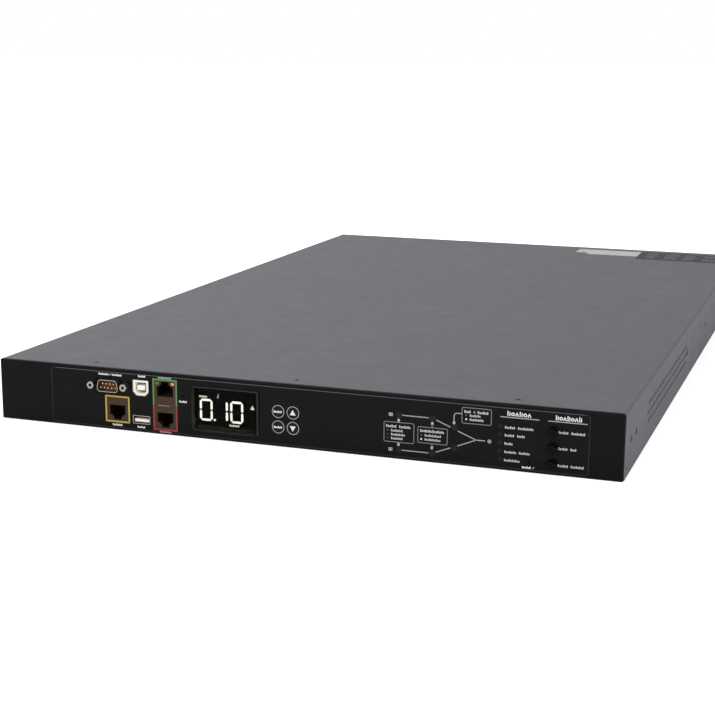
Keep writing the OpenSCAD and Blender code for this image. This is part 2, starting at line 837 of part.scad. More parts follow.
module rear_panel() {
    color("dimgrey")
    difference() {
        along_x(-wall_half_w, wall_half_w)
            difference() {
                translate([rear_y - flange_d, floor_z])
                    soft_rect([flange_d, flange_top - floor_z], [0, bend_r, bend_r, 0]);
                translate([rear_y - flange_d - sheet_t, floor_z + sheet_t])
                    soft_rect([flange_d, flange_top - floor_z - 2 * sheet_t], [0, bend_in, bend_in, 0]);
            }
        along_y(rear_y - sheet_t - cut, rear_y + cut) {
            for (x = inlets_x)
                large_body(x, port_gap);
            large_body(large_outlet_x, port_gap);
            for (x = small_outlets_x)
                small_body(x, port_gap);
        }
        rod_y([earth_x, rear_z], earth_stud_d / 2 + port_gap, rear_y - sheet_t - cut, rear_y + cut);
        at_case_screws() case_screw_hole();
    }
}

module case_screws() {
    color("#303033") at_case_screws() case_screw();
}

module plate_nuts() {
    color("silver")
    for (x = plate_studs_x)
        for (z = plate_studs_z)
            difference() {
                hex_y([x, z], plate_nut_hex, wall_back, wall_back + plate_nut_h);
                rod_y([x, z], plate_stud_r + thread_gap, wall_back - cut, wall_back + plate_nut_h + cut);
            }
}

// Bare silver label with a stepped corner and a small hole
module bare_label() {
    x1 = half_w - dark_label_inset - dark_label_w - 1;
    x0 = x1 - bare_label_w;
    y1 = rear_y - label_inset;
    y0 = y1 - bare_label_d;
    tag = [13, 9];
    color("silver")
    translate([0, 0, case_h])
        linear_extrude(label_t)
            difference() {
                translate([x0, y0]) soft_rect([bare_label_w, bare_label_d], [0, 1, 1, 1]);
                translate([x0 - cut, y0 - cut]) square([tag[0] + cut, tag[1] + cut]);
                translate([x0 + tag[0] / 2, y1 - bare_label_d * 0.45]) circle(1.6);
            }
}

module dark_label() {
    x1 = half_w - dark_label_inset;
    y1 = rear_y - label_inset + 4;
    color("#5c5c60")
    translate([x1 - dark_label_w, y1 - dark_label_d, case_h])
        linear_extrude(label_t)
            soft_rect([dark_label_w, dark_label_d], [1, 1, 1, 1]);
}

module serial_shell() {
    wall = 0.4;
    flange_back = plate_back + serial_flange_t;
    color("silver")
    difference() {
        union() {
            along_y(face_y - serial_reach, flange_back)
                serial_outline(0);
            along_y(plate_back, flange_back)
                centred_rect([serial_x, serial_z], [serial_flange_w, serial_flange_h], 1);
        }
        along_y(face_y - serial_reach - cut, flange_back + cut)
            serial_outline(-wall);
        for (side = [-1, 1])
            rod_y([serial_x + side * jackscrew_pitch / 2, serial_z],
                screw_r + thread_gap, plate_back - cut, flange_back + cut);
    }
}

// Nine pins in two rows, five in the wide row
serial_pins_at = [
    for (i = [-2:2]) [serial_x + i * 2.77, serial_z - 1.42],
    for (i = [-1.5:1.5]) [serial_x + i * 2.77, serial_z + 1.42],
];
serial_pin_r = 0.5;
serial_face = plate_back - 1.2;
serial_body_back = plate_back + 8.5;

module serial_insert() {
    wall = 0.4;
    body_w = 20;
    body_z = serial_z - 5.4;
    color("saddlebrown")
    difference() {
        union() {
            along_y(serial_face, plate_back + serial_flange_t)
                serial_outline(-wall);
            block([serial_x - body_w / 2, plate_back + serial_flange_t, body_z],
                [serial_x + body_w / 2, serial_body_back, serial_board_z - thread_gap]);
            block([serial_x - body_w / 2, control_board_y + 1, body_z],
                [serial_x + body_w / 2, serial_body_back, serial_board_z]);
        }
        for (at = serial_pins_at)
            rod_y(at, serial_pin_r, serial_face - cut, serial_body_back + cut);
    }
}

module serial_pins() {
    tip = face_y - serial_reach + 0.9;
    color("gold")
    for (at = serial_pins_at) {
        rod_y(at, serial_pin_r, tip + serial_pin_r, serial_body_back);
        translate([at[0], tip + serial_pin_r, at[1]]) sphere(serial_pin_r, $fn = 24);
    }
}

module jackscrews() {
    color("silver")
    for (side = [-1, 1]) {
        at = [serial_x + side * jackscrew_pitch / 2, serial_z];
        difference() {
            union() {
                intersection() {
                    hex_y(at, jackscrew_hex, front_y - jackscrew_reach, front_y);
                    translate([at[0], front_y - jackscrew_reach, at[1]])
                        rotate([-90, 0, 0])
                            cylinder(r1 = jackscrew_hex / 2, r2 = jackscrew_hex, h = jackscrew_hex);
                }
                hex_y(at, jackscrew_hex, front_y - jackscrew_reach + 1, front_y);
                rod_y(at, screw_r, front_y - cut, plate_back + serial_flange_t + 1.6);
            }
            rod_y(at, jackscrew_bore_d / 2, front_y - jackscrew_reach - cut,
                front_y - jackscrew_reach + jackscrew_bore_l);
        }
    }
}

usb_b_front = face_y - usb_b_reach;
usb_b_back = front_y + 16;
usb_wall = 0.4;

module usb_b_shell() {
    color("silver")
    difference() {
        along_y(usb_b_front, usb_b_back) usb_b_outline(0);
        along_y(usb_b_front - cut, usb_b_back + cut) usb_b_outline(-usb_wall);
    }
}

// White body with the plug's well and the tongue that stands in it
module usb_b_insert() {
    well = [8.5, 7.7];
    tongue = [5.6, 3.2];
    color("whitesmoke") {
        difference() {
            along_y(usb_b_front + 0.2, usb_b_back) usb_b_outline(-usb_wall);
            along_y(usb_b_front - cut, usb_b_back - 4)
                translate([usb_b_x - well[0] / 2, usb_b_z - well[1] / 2])
                    polygon([
                        [1.6, 0], [well[0] - 1.6, 0], [well[0], 1.6],
                        [well[0], well[1]], [0, well[1]], [0, 1.6],
                    ]);
        }
        block([usb_b_x - tongue[0] / 2, usb_b_front + 0.8, usb_b_z - tongue[1] / 2],
            [usb_b_x + tongue[0] / 2, usb_b_back - 3, usb_b_z + tongue[1] / 2]);
    }
}

usb_a_front = face_y - 0.4;
usb_a_back = front_y + 15;

module usb_a_shell() {
    color("silver")
    difference() {
        along_y(usb_a_front, usb_a_back) usb_a_outline(0);
        along_y(usb_a_front - cut, usb_a_back + cut) usb_a_outline(-usb_wall);
    }
}

// White tongue with the base that stands on the control board
module usb_a_tongue() {
    tongue = [10.8, 2];
    low = usb_a_z - usb_a_h / 2;
    color("whitesmoke") {
        along_y(usb_a_back - 3, usb_a_back) usb_a_outline(-usb_wall);
        block([usb_a_x - tongue[0] / 2, usb_a_front + 0.8, usb_a_z - tongue[1] / 2 - 0.6],
            [usb_a_x + tongue[0] / 2, usb_a_back - 2, usb_a_z + tongue[1] / 2 - 0.6]);
        block([usb_a_x - usb_a_w / 2 + 1, usb_a_back, control_top],
            [usb_a_x + usb_a_w / 2 - 1, usb_a_back + 2, low + usb_a_h - 1]);
        block([usb_a_x - usb_a_w / 2 + 1, usb_a_back - 6, control_top],
            [usb_a_x + usb_a_w / 2 - 1, usb_a_back + 2, low]);
    }
}

// Opening of a network port at its plain edge z, with the stepped latch notch on the side dir
module jack_opening(x, z, dir) {
    base = dir > 0 ? z : z + jack_open_h;
    half = jack_open_w / 2;
    h = jack_open_h;
    steps = [[half, 0], [half, h], [4.3, h], [4.3, h + 1.2], [3, h + 1.2], [3, h + jack_notch_h]];
    along_y(face_y - cut, face_y + jack_open_d)
        polygon([
            for (p = steps) [x + p[0], base + dir * p[1]],
            for (i = [5:-1:0]) [x - steps[i][0], base + dir * steps[i][1]],
        ]);
}

// Slots in which the contact wires lie, on the side of the opening away from the latch
module contact_slots(x, z, dir) {
    base = dir > 0 ? z : z + jack_open_h;
    w = 8 * contact_pitch + 0.4;
    y0 = face_y + 1.2;
    block([x - w / 2, y0, dir > 0 ? base - 0.8 : base - cut],
        [x + w / 2, face_y + jack_open_d - 1, dir > 0 ? base + cut : base + 0.8]);
}

module sensor_jack() {
    foot_front = wall_back + 2.6;
    color("#3a2c22")
    difference() {
        union() {
            block([sensor_x - sensor_w / 2, face_y, sensor_z0],
                [sensor_x + sensor_w / 2, jack_back, sensor_z0 + sensor_h]);
            block([sensor_x - sensor_w / 2, foot_front, control_top],
                [sensor_x + sensor_w / 2, jack_back, sensor_z0 + cut]);
        }
        jack_opening(sensor_x, sensor_open_z, -1);
        contact_slots(sensor_x, sensor_open_z, -1);
    }
}

jack_light_size = [2.4, 1.8];
jack_light_d = 2;
jack_lights_at = [for (s = [-1, 1]) [network_x + s * 5.8, control_top + network_h - 1.8]];

module network_jack() {
    color("#3a2c22")
    difference() {
        block([network_x - network_w / 2, face_y, control_top],
            [network_x + network_w / 2, jack_back, control_top + network_h]);
        jack_opening(network_x, network_low_z, -1);
        contact_slots(network_x, network_low_z, -1);
        jack_opening(network_x, network_high_z, 1);
        contact_slots(network_x, network_high_z, 1);
        for (at = jack_lights_at)
            along_y(face_y - cut, face_y + jack_light_d)
                centred_rect(at, jack_light_size, 0.2);
    }
}

module jack_lights() {
    color("orange")
    for (at = jack_lights_at)
        along_y(face_y, face_y + jack_light_d)
            centred_rect(at, jack_light_size, 0.2);
}

// Eight wires that spring from the slot's back into the opening
module contact_row(x, z, dir) {
    base = dir > 0 ? z - 0.3 : z + jack_open_h + 0.3;
    lean = 15;
    length = 8;
    for (i = [-3.5:3.5])
        translate([x + i * contact_pitch, face_y + 2.2, base])
            rotate([-90 + dir * lean, 0, 0])
                cylinder(d = contact_d, h = length, $fn = 16);
}

module jack_contacts() {
    color("gold") {
        contact_row(sensor_x, sensor_open_z, -1);
        contact_row(network_x, network_low_z, -1);
        contact_row(network_x, network_high_z, 1);
    }
}

module display_window() {
    color([0.2, 0.17, 0.15, 0.7])
    intersection() {
        along_y(face_y - window_reach, plate_back)
            centred_rect([window_x, window_z], [window_w, window_h], 0.8);
        along_x(window_x - window_w, window_x + window_w)
            translate([face_y - window_reach, window_z - window_h / 2])
                soft_rect([plate_t + overlay_t + window_reach, window_h], [0.3, 0, 0, 0.3]);
    }
}

// Bar with pointed ends, lying along X
module segment_bar(l) {
    s = segment_w / 2;
    polygon([[-l / 2, 0], [s - l / 2, s], [l / 2 - s, s], [l / 2, 0], [l / 2 - s, -s], [s - l / 2, -s]]);
}

// The segments of one digit that are named in a list of letters
module digit(at, letters) {
    gap = 0.25;
    w = digit_w - segment_w;
    h = (digit_h - segment_w) / 2;
    bars = [
        ["a", 0, h, 0], ["b", w / 2, h / 2, 90], ["c", w / 2, -h / 2, 90], ["d", 0, -h, 0],
        ["e", -w / 2, -h / 2, 90], ["f", -w / 2, h / 2, 90], ["g", 0, 0, 0],
    ];
    translate(at)
        for (bar = bars)
            if (len(search(bar[0], letters)) > 0)
                translate([bar[1], bar[2]])
                    rotate(bar[3])
                        segment_bar((bar[3] == 0 ? w : h) - 2 * gap);
}

digits_x = [for (i = [-1:1]) window_x - 3.7 + i * digit_pitch];
digits_z = window_z - 0.9;
point_at = [(digits_x[0] + digits_x[1]) / 2 + 0.6, digits_z - digit_h / 2 + 1];

module lit_segments() {
    digit([digits_x[0], digits_z], "abcdef");
    digit([digits_x[1], digits_z], "bc");
    digit([digits_x[2], digits_z], "abcdef");
    translate(point_at) circle(segment_w / 2, $fn = 24);
}

module display_module() {
    color("#1a1512")
    difference() {
        along_y(plate_back, board_y)
            centred_rect([window_x, window_z], [module_w, module_h], 0.6);
        along_y(plate_back - cut, plate_back + segment_t) lit_segments();
    }
}

module display_segments() {
    color("white") along_y(plate_back, plate_back + segment_t) lit_segments();
}

module panel_board(span, switches) {
    low = panel_board_z - panel_board_h / 2;
    difference() {
        block([span[0], board_y, low], [span[1], board_y + board_t, low + panel_board_h]);
        for (at = panel_pillars)
            rod_y(at, screw_r + thread_gap, board_y - cut, board_y + board_t + cut);
    }
    // Solder joints of the switches
    for (at = switches)
        for (x = [-1, 1])
            for (z = [-1, 1])
                rod_y([at[0] + x * 2, at[1] + z * 2], 0.5, board_y + board_t, board_y + board_t + 0.8);
}

module display_board() {
    color("darkgreen") {
        panel_board(display_board_x, concat(keys, [left_reset]));
        // Driver chip
        block([window_x - 8, board_y + board_t, window_z - 4],
            [window_x + 8, board_y + board_t + 2.4, window_z + 4]);
    }
}

// Socket for the flat cable on the indicator board
ribbon_x = 126;
ribbon_z = 24;
socket_l = 6;
socket_y = board_y + board_t + socket_l;
ribbon_y = control_board_y + 50;
ribbon_t = 0.9;
plug_l = 6;
header_x = control_board_x[1] - 9;

module indicator_board() {
    color("darkgreen") {
        panel_board(indicator_board_x, concat(buttons, [right_reset]));
        block([ribbon_x - 4, board_y + board_t, ribbon_z - ribbon_w / 2 - 1],
            [ribbon_x + 4, socket_y, ribbon_z + ribbon_w / 2 + 1]);
    }
}

// Turned profile of a key or button: cap, collar and stem, pointing along +Y
module plunger(at, cap_d, reach, tip_r) {
    cap_r = cap_d / 2;
    front = face_y - reach;
    stem_end = switch_front + stem_reach;
    translate([at[0], front, at[1]])
        rotate([-90, 0, 0])
            rotate_extrude()
                union() {
                    translate([0, tip_r]) square([cap_r, collar_y + collar_t - front - tip_r]);
                    square([cap_r - tip_r, tip_r + 0.1]);
                    translate([cap_r - tip_r, tip_r])
                        intersection() {
                            circle(tip_r);
                            translate([0, -tip_r]) square(tip_r);
                        }
                    translate([0, collar_y - front]) square([cap_r + collar_rim, collar_t]);
                    square([stem_d / 2, stem_end - front]);
                }
}

module key(at) {
    color("#202022") plunger(at, key_d, key_reach, 0.3);
}

module mode_key() { key(keys[0]); }
module function_key() { key(keys[1]); }
module up_key() { key(keys[2]); }
module down_key() { key(keys[3]); }

module button(at) {
    color("#141414") plunger(at, button_d, button_reach, 0.8);
}

module upper_button() { button(buttons[0]); }
module middle_button() { button(buttons[1]); }
module lower_button() { button(buttons[2]); }

// Short plunger of a reset switch, reached with a pin through its hole
module reset_plunger(at) {
    color("#e8e4da") {
        rod_y(at, stem_d / 2, switch_front - 1.4, switch_front + stem_reach);
    }
}

module left_reset_plunger() { reset_plunger(left_reset); }
module right_reset_plunger() { reset_plunger(right_reset); }

module push_switches() {
    color("#303030")
    for (at = concat(keys, buttons, [left_reset, right_reset]))
        difference() {
            along_y(switch_front, board_y)
                centred_rect(at, [switch_w, switch_w], 0.5);
            rod_y(at, stem_d / 2 + moving_gap, switch_front - cut, switch_front + switch_bore_l);
        }
}

// Light with a rim that stands on the board and fills its hole in the plate
module panel_light(at, d) {
    rod_y(at, d / 2, face_y, board_y);
    rod_y(at, d / 2 + 0.4, board_y - 2, board_y);
}

module diagram_lights() {
    color("#2a2826") for (at = diagram_lights) panel_light(at, diagram_light_d);
}

module alarm_lights() {
    color("#3a3836") for (at = alarm_lights) panel_light(at, alarm_light_d);
}

// Leaded chip on a board, with its rows of legs
module chip(at, size, z) {
    block([at[0] - size[0] / 2, at[1] - size[1] / 2, z],
        [at[0] + size[0] / 2, at[1] + size[1] / 2, z + size[2]]);
    for (side = [-1, 1])
        for (i = [-3:3])
            block([at[0] + i * size[0] / 7.5 - 0.4, at[1] + side * size[1] / 2 - 0.8, z],
                [at[0] + i * size[0] / 7.5 + 0.4, at[1] + side * size[1] / 2 + 0.8, z + 0.5]);
}

module control_board() {
    middle_x = (control_board_x[0] + control_board_x[1]) / 2;
    back = control_board_y + control_board_d;
    color("darkgreen") {
        difference() {
            block([control_board_x[0], control_board_y, control_z],
                [control_board_x[1], back, control_top]);
            for (at = concat(control_screws, serial_pillars))
                rod_z(at, screw_r + thread_gap, control_z - cut, control_top + cut);
        }
        chip([middle_x + 8, back - 20], [20, 20, 2.2], control_top);
        chip([middle_x - 20, back - 16], [14, 10, 1.8], control_top);
        // Header for the flat cable
        block([header_x - 6, ribbon_y - 5, control_top],
            [header_x, ribbon_y + 5, control_top + ribbon_w + 3]);
    }
}

module serial_board() {
    color("darkgreen")
    difference() {
        block([serial_board_x[0], control_board_y, serial_board_z],
            [serial_board_x[1], control_board_y + serial_board_d, serial_top]);
        for (at = serial_pillars)
            rod_z(at, screw_r + thread_gap, serial_board_z - cut, serial_top + cut);
    }
}

module power_board() {
    color("darkgreen")
    difference() {
        block([-power_half_w, power_front, power_z], [power_half_w, power_back, power_top]);
        for (at = power_screws)
            rod_z(at, screw_r + thread_gap, power_z - cut, power_top + cut);
    }
}

module pillar(at, z0, z1) {
    difference() {
        rod_z(at, pillar_d / 2, z0, z1);
        rod_z(at, screw_r + thread_gap, z0 + 0.4, z1 + cut);
    }
}

module board_pillars() {
    color("silver") {
        for (at = concat(control_screws, serial_pillars))
            pillar(at, floor_z, control_z);
        for (at = serial_pillars)
            pillar(at, control_top, serial_board_z);
        for (at = power_screws)
            pillar(at, floor_z, power_z);
        for (at = panel_pillars)
            difference() {
                rod_y(at, pillar_d / 2, plate_back, board_y);
                rod_y(at, screw_r + thread_gap, plate_back + 1, board_y + cut);
            }
    }
}

// Pan-headed screw that points down from its seat at the origin
module board_screw(shank) {
    difference() {
        union() {
            cylinder(d = board_head_d, h = board_head_h);
            translate([0, 0, -shank]) cylinder(r = screw_r, h = shank + 0.1);
        }
        for (turn = [0, 90])
            rotate(turn)
                translate([-0.4, -1.4, board_head_h - 0.9]) cube([0.8, 2.8, 0.9 + cut]);
    }
}

module board_screws() {
    color("silver") {
        for (at = control_screws)
            translate([at[0], at[1], control_top]) board_screw(board_t + control_gap - 0.8);
        for (at = serial_pillars)
            translate([at[0], at[1], serial_top]) board_screw(board_t + 4);
        for (at = power_screws)
            translate([at[0], at[1], power_top]) board_screw(board_t + 3.5);
        for (at = panel_pillars)
            translate([at[0], board_y + board_t, at[1]])
                rotate([-90, 0, 0]) board_screw(board_t + 4);
    }
}

// Flat cable that stands on edge, from the control board's header to the indicator board
module ribbon_cable() {
    r = 4;
    color("lightsteelblue")
    translate([0, 0, ribbon_z - ribbon_w / 2])
        linear_extrude(ribbon_w)
            difference() {
                translate([header_x + plug_l, socket_y + plug_l])
                    soft_rect([ribbon_x + ribbon_t / 2 - header_x - plug_l,
                        ribbon_y + ribbon_t / 2 - socket_y - plug_l], [0, 0, r, 0]);
                translate([header_x + plug_l - cut, socket_y + plug_l - cut])
                    soft_rect([ribbon_x - ribbon_t / 2 - header_x - plug_l + cut,
                        ribbon_y - ribbon_t / 2 - socket_y - plug_l + cut], [0, 0, r - ribbon_t, 0]);
            }
    color("#202020") {
        block([header_x, ribbon_y - 3, ribbon_z - ribbon_w / 2 - 1],
            [header_x + plug_l, ribbon_y + 3, ribbon_z + ribbon_w / 2 + 1]);
        block([ribbon_x - 3, socket_y, ribbon_z - ribbon_w / 2 - 1],
            [ribbon_x + 3, socket_y + plug_l, ribbon_z + ribbon_w / 2 + 1]);
    }
}

// Extruded comb: a flat base above fins that stand on the floor
module heat_sink() {
    end_t = 2 * sink_screw_inset;
    count = floor((sink_d - 2 * end_t) / fin_pitch);
    first = sink_front + (sink_d - (count - 1) * fin_pitch) / 2;
    color("silver")
    difference() {
        along_x(-sink_w / 2, sink_w / 2) {
            translate([sink_front, sink_top - sink_base_t]) square([sink_d, sink_base_t]);
            for (i = [0:count - 1])
                translate([first + i * fin_pitch - fin_t / 2, floor_z])
                    square([fin_t, sink_h - sink_base_t + 0.1]);
            for (y = [sink_front, sink_back - end_t])
                translate([y, floor_z]) square([end_t, sink_h - sink_base_t + 0.1]);
        }
        at_case_screws() case_screw_hole();
    }
}

// Module with a metal foot, a stepped body and three screw terminals
module thyristor_modules() {
    foot_t = 3;
    pad_h = 2;
    color("whitesmoke")
    for (at = thyristors)
        translate([at[0], at[1], sink_top]) {
            difference() {
                block([-thyristor_l / 2, -thyristor_w / 2, 0], [thyristor_l / 2, thyristor_w / 2, foot_t]);
                for (side = [-1, 1])
                    translate([side * (thyristor_l / 2 - 6), 0, -cut]) cylinder(d = 6, h = foot_t + 2 * cut);
            }
            block([12 - thyristor_l / 2, 1 - thyristor_w / 2, foot_t - 0.1],
                [thyristor_l / 2 - 12, thyristor_w / 2 - 1, thyristor_h - pad_h]);
            for (i = [-1:1])
                block([i * terminal_step - 7, -7, thyristor_h - pad_h - 0.1],
                    [i * terminal_step + 7, 7, thyristor_h]);
        }
}

// Bars that step down from the thyristor modules to the power board
module copper_bars() {
    drop_y = (sink_back + power_front) / 2;
    color("peru") {
        for (at = bars)
            along_x(at[0] - bar_w / 2, at[0] + bar_w / 2) {
                translate([at[1] - 5, thyristor_top]) square([drop_y - at[1] + 5, bar_t]);
                translate([drop_y - bar_t, power_top]) square([bar_t, thyristor_top + bar_t - power_top]);
                translate([drop_y - bar_t, power_top]) square([power_front + 14 - drop_y, bar_t]);
            }
        // Strips along the backs of the outlets
        x0 = small_outlets_x[small_outlet_count - 1] - 8;
        for (i = [-1:1])
            block([x0, outlet_back - outlet_bar_t, rear_z + i * 7 - 2.5],
                [large_outlet_x + 8, outlet_back, rear_z + i * 7 + 2.5]);
    }
}

module relays() {
    color("#1c1c1e")
    for (x = relay_xs)
        translate([x - relay_l / 2, relay_y - relay_w / 2, power_top])
            linear_extrude(relay_h) soft_rect([relay_l, relay_w], [1, 1, 1, 1]);
}

// Ring cores that stand on the power board, round the supply wires
module current_transformers() {
    r = wire_low_z - power_top;
    aside = r + 0.5 - blade_pitch / 2;
    y = [power_back - 32, power_back - 22];
    color("#28385a")
    for (x = inlets_x)
        for (side = [-1, 1]) {
            at = [x + side * (blade_pitch / 2 + aside), wire_low_z];
            difference() {
                rod_y(at, r, y[0], y[1]);
                rod_y(at, aside + wire_r + 0.5, y[0] - cut, y[1] + cut);
            }
        }
}

// Cartridge fuses in their clips
module fuses() {
    clip_t = 1;
    z = power_top + fuse_d / 2 + 2;
    color("ivory")
    for (x = [-1, 1])
        for (y = [0, 1])
            translate([x * 170 - fuse_l / 2, power_front + 100 + y * 24, 0]) {
                translate([0, 0, z]) rotate([0, 90, 0]) cylinder(d = fuse_d, h = fuse_l);
                for (end = [3, fuse_l - 7])
                    block([end, -fuse_d / 2 - clip_t, power_top], [end + 4, fuse_d / 2 + clip_t, z]);
            }
}

module capacitors() {
    color("steelblue")
    for (x = [-2:2])
        rod_z([x * 26, power_front + 110], capacitor_d / 2, power_top, power_top + capacitor_h);
}

module supply_transformers() {
    color("#3c3a34")
    for (x = [-1, 1])
        translate([x * 110 - transformer_l / 2, power_front + 160, power_top])
            linear_extrude(transformer_h) soft_rect([transformer_l, transformer_w], [2, 2, 2, 2]);
}

wire_pairs_x = [for (x = inlets_x) for (side = [-1, 1]) x + side * blade_pitch / 2];

module terminal_blocks() {
    h = wire_high_z + wire_r + 1.5;
    color("darkolivegreen") {
        for (x = inlets_x)
            block([x - 12, block_y - block_l, power_top], [x + 12, block_y, h]);
        block([outlet_block_x - 22, block_y - block_l, power_top],
            [outlet_block_x + 22, block_y, rear_z + 7 + wire_r + 1.5]);
    }
}

// Straight runs from the inlets and outlet strips to the terminal blocks
module power_wires() {
    color("saddlebrown") {
        for (x = wire_pairs_x)
            rod_y([x, wire_low_z], wire_r, block_y, inlet_back - tab_l);
        for (x = inlets_x)
            rod_y([x, wire_high_z], wire_r, block_y, inlet_back - tab_l);
        for (i = [-1:1])
            rod_y([outlet_block_x + i * 14, rear_z + i * 7], wire_r, block_y, outlet_back - outlet_bar_t);
    }
}

// Blade places in a large connector: earth above, line and neutral below
large_blades = [[0, blade_row], [-blade_pitch / 2, -blade_row], [blade_pitch / 2, -blade_row]];
blade = [8, 2];
tab = [6.3, 0.8];
inlet_well = [30.2, 20.4];
inlet_well_d = 17;

module power_inlets() {
    color("#1a1a1a")
    for (x = inlets_x)
        difference() {
            union() {
                along_y(rear_y, rear_y + face_t)
                    centred_rect([x, rear_z], [inlet_face_w, inlet_face_h], 2);
                along_y(inlet_back, rear_y + cut)
                    large_body(x, 0);
            }
            along_y(rear_y + face_t - inlet_well_d, rear_y + face_t + cut)
                centred_rect([x, rear_z], inlet_well, 3.5);
            for (at = large_blades)
                along_y(inlet_back - cut, rear_y)
                    centred_rect([x + at[0], rear_z + at[1]], blade, 0.3);
        }
}

module inlet_blades() {
    color("silver")
    for (x = inlets_x)
        for (at = large_blades) {
            along_y(inlet_back, rear_y + face_t - 1.5)
                centred_rect([x + at[0], rear_z + at[1]], blade, 0.3);
            along_y(inlet_back - tab_l, inlet_back + cut)
                centred_rect([x + at[0], rear_z + at[1]], tab, 0.1);
        }
}

// Outlet with a raised island in a groove, drawn at the panel's face
module outlet(x, face, groove, island, corner_r) {
    difference() {
        along_y(rear_y, rear_y + face_t) centred_rect([x, rear_z], face, 2);
        along_y(rear_y - 12, rear_y + face_t + cut) centred_rect([x, rear_z], groove, corner_r);
    }
    difference() {
        along_y(outlet_back, rear_y) children();
        along_y(rear_y - 12, rear_y + cut) centred_rect([x, rear_z], groove, corner_r);
    }
    difference() {
        along_y(rear_y - 13, rear_y + face_t - 0.5)
            translate([x, rear_z]) polygon(island);
        for (at = $slots)
            along_y(rear_y - 10, rear_y + face_t)
                centred_rect([x + at[0], rear_z + at[1]], $slot, 0.2);
    }
}

// Island outline with its two upper corners cut, as the small connector has them
function cut_island(w, h, c) = [
    [-w / 2, -h / 2], [w / 2, -h / 2], [w / 2, h / 2 - c],
    [w / 2 - c, h / 2], [c - w / 2, h / 2], [-w / 2, h / 2 - c],
];

module small_outlets() {
    color("#1a1a1a")
    for (x = small_outlets_x)
        outlet(x, [small_face_w, small_face_h], [27.4, 20.2], cut_island(23.4, 16.2, 4), 2,
            $slots = [[0, 3], [-7, -1], [7, -1]], $slot = [2.4, 5])
                small_body(x, 0);
}

module large_outlet() {
    color("#1a1a1a")
    outlet(large_outlet_x, [inlet_face_w, inlet_face_h], [32.6, 22.6], cut_island(28.6, 18.6, 1), 3,
        $slots = large_blades, $slot = [8.4, 2.4])
            large_body(large_outlet_x, 0);
}

washer_t = 1;
nut_h = 4;

// Stud with a head inside the panel, and a groove where its free thread begins
module earth_stud() {
    r = earth_stud_d / 2;
    groove_y = washer_t + nut_h;
    tip = 0.5;
    color("gold")
    translate([earth_x, rear_y - sheet_t, rear_z])
        rotate([-90, 0, 0]) {
            translate([0, 0, -1.5]) cylinder(d = earth_stud_d + 4, h = 1.5);
            cylinder(r = r, h = sheet_t + groove_y);
            cylinder(r = r - 0.4, h = sheet_t + groove_y + 1);
            translate([0, 0, sheet_t + groove_y + 0.6])
                cylinder(r = r, h = earth_stud_l - groove_y - 0.6 - tip);
            translate([0, 0, sheet_t + earth_stud_l - tip])
                cylinder(r1 = r, r2 = r - tip, h = tip);
        }
}

module earth_nut() {
    nut_hex = 8;
    color("silver")
    difference() {
        union() {
            rod_y([earth_x, rear_z], 5, rear_y, rear_y + washer_t);
            hex_y([earth_x, rear_z], nut_hex, rear_y + washer_t - 0.1, rear_y + washer_t + nut_h);
        }
        rod_y([earth_x, rear_z], earth_stud_d / 2 + thread_gap, rear_y - cut, rear_y + washer_t + nut_h + cut);
    }
}

base_tray();
top_cover();
front_plate();
front_overlay();
rear_panel();
case_screws();
plate_nuts();
bare_label();
dark_label();
serial_shell();
serial_insert();
serial_pins();
jackscrews();
usb_b_shell();
usb_b_insert();
usb_a_shell();
usb_a_tongue();
sensor_jack();
network_jack();
jack_contacts();
jack_lights();
display_window();
display_module();
display_segments();
display_board();
mode_key();
function_key();
up_key();
down_key();
upper_button();
middle_button();
lower_button();
left_reset_plunger();
right_reset_plunger();
push_switches();
diagram_lights();
alarm_lights();
indicator_board();
control_board();
serial_board();
power_board();
board_pillars();
board_screws();
ribbon_cable();
heat_sink();
thyristor_modules();
relays();
current_transformers();
fuses();
capacitors();
supply_transformers();
terminal_blocks();
copper_bars();
power_wires();
power_inlets();
inlet_blades();
small_outlets();
large_outlet();
earth_stud();
earth_nut();
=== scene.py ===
import json
import math
import bmesh
import bpy
from mathutils import Matrix, Vector


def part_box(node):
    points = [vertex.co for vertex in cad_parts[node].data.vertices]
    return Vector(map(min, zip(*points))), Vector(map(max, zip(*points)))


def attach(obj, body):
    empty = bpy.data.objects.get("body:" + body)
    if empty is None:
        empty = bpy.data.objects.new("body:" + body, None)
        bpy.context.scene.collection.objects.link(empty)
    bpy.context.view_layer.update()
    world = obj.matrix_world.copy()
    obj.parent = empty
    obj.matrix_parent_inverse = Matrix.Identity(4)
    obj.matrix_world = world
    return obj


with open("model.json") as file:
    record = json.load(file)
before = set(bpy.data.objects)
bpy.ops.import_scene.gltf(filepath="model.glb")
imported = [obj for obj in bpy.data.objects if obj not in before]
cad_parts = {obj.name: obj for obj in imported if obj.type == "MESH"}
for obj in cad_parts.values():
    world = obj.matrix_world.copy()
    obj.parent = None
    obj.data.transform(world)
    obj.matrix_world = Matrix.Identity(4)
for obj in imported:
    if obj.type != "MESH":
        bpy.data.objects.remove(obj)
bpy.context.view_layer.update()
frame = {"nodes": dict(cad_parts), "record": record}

nodes = frame["nodes"]
scene = bpy.context.scene
mm = 0.001
print("frame loaded:", len(nodes), "nodes")

# Camera

viewpoint = {
    "place": (0.3555, -1.2223, 0.2698),
    "turn": (77.532, -0.327, 19.537),
    "lens": 74.47,
}


def addCamera(settings):
    data = bpy.data.cameras.new("camera")
    data.lens = settings["lens"]
    data.sensor_width = 36
    data.clip_end = 50
    camera = bpy.data.objects.new("camera", data)
    camera.location = settings["place"]
    camera.rotation_euler = [math.radians(a) for a in settings["turn"]]
    scene.collection.objects.link(camera)
    scene.camera = camera


addCamera(viewpoint)
print("camera placed")

# Node helpers


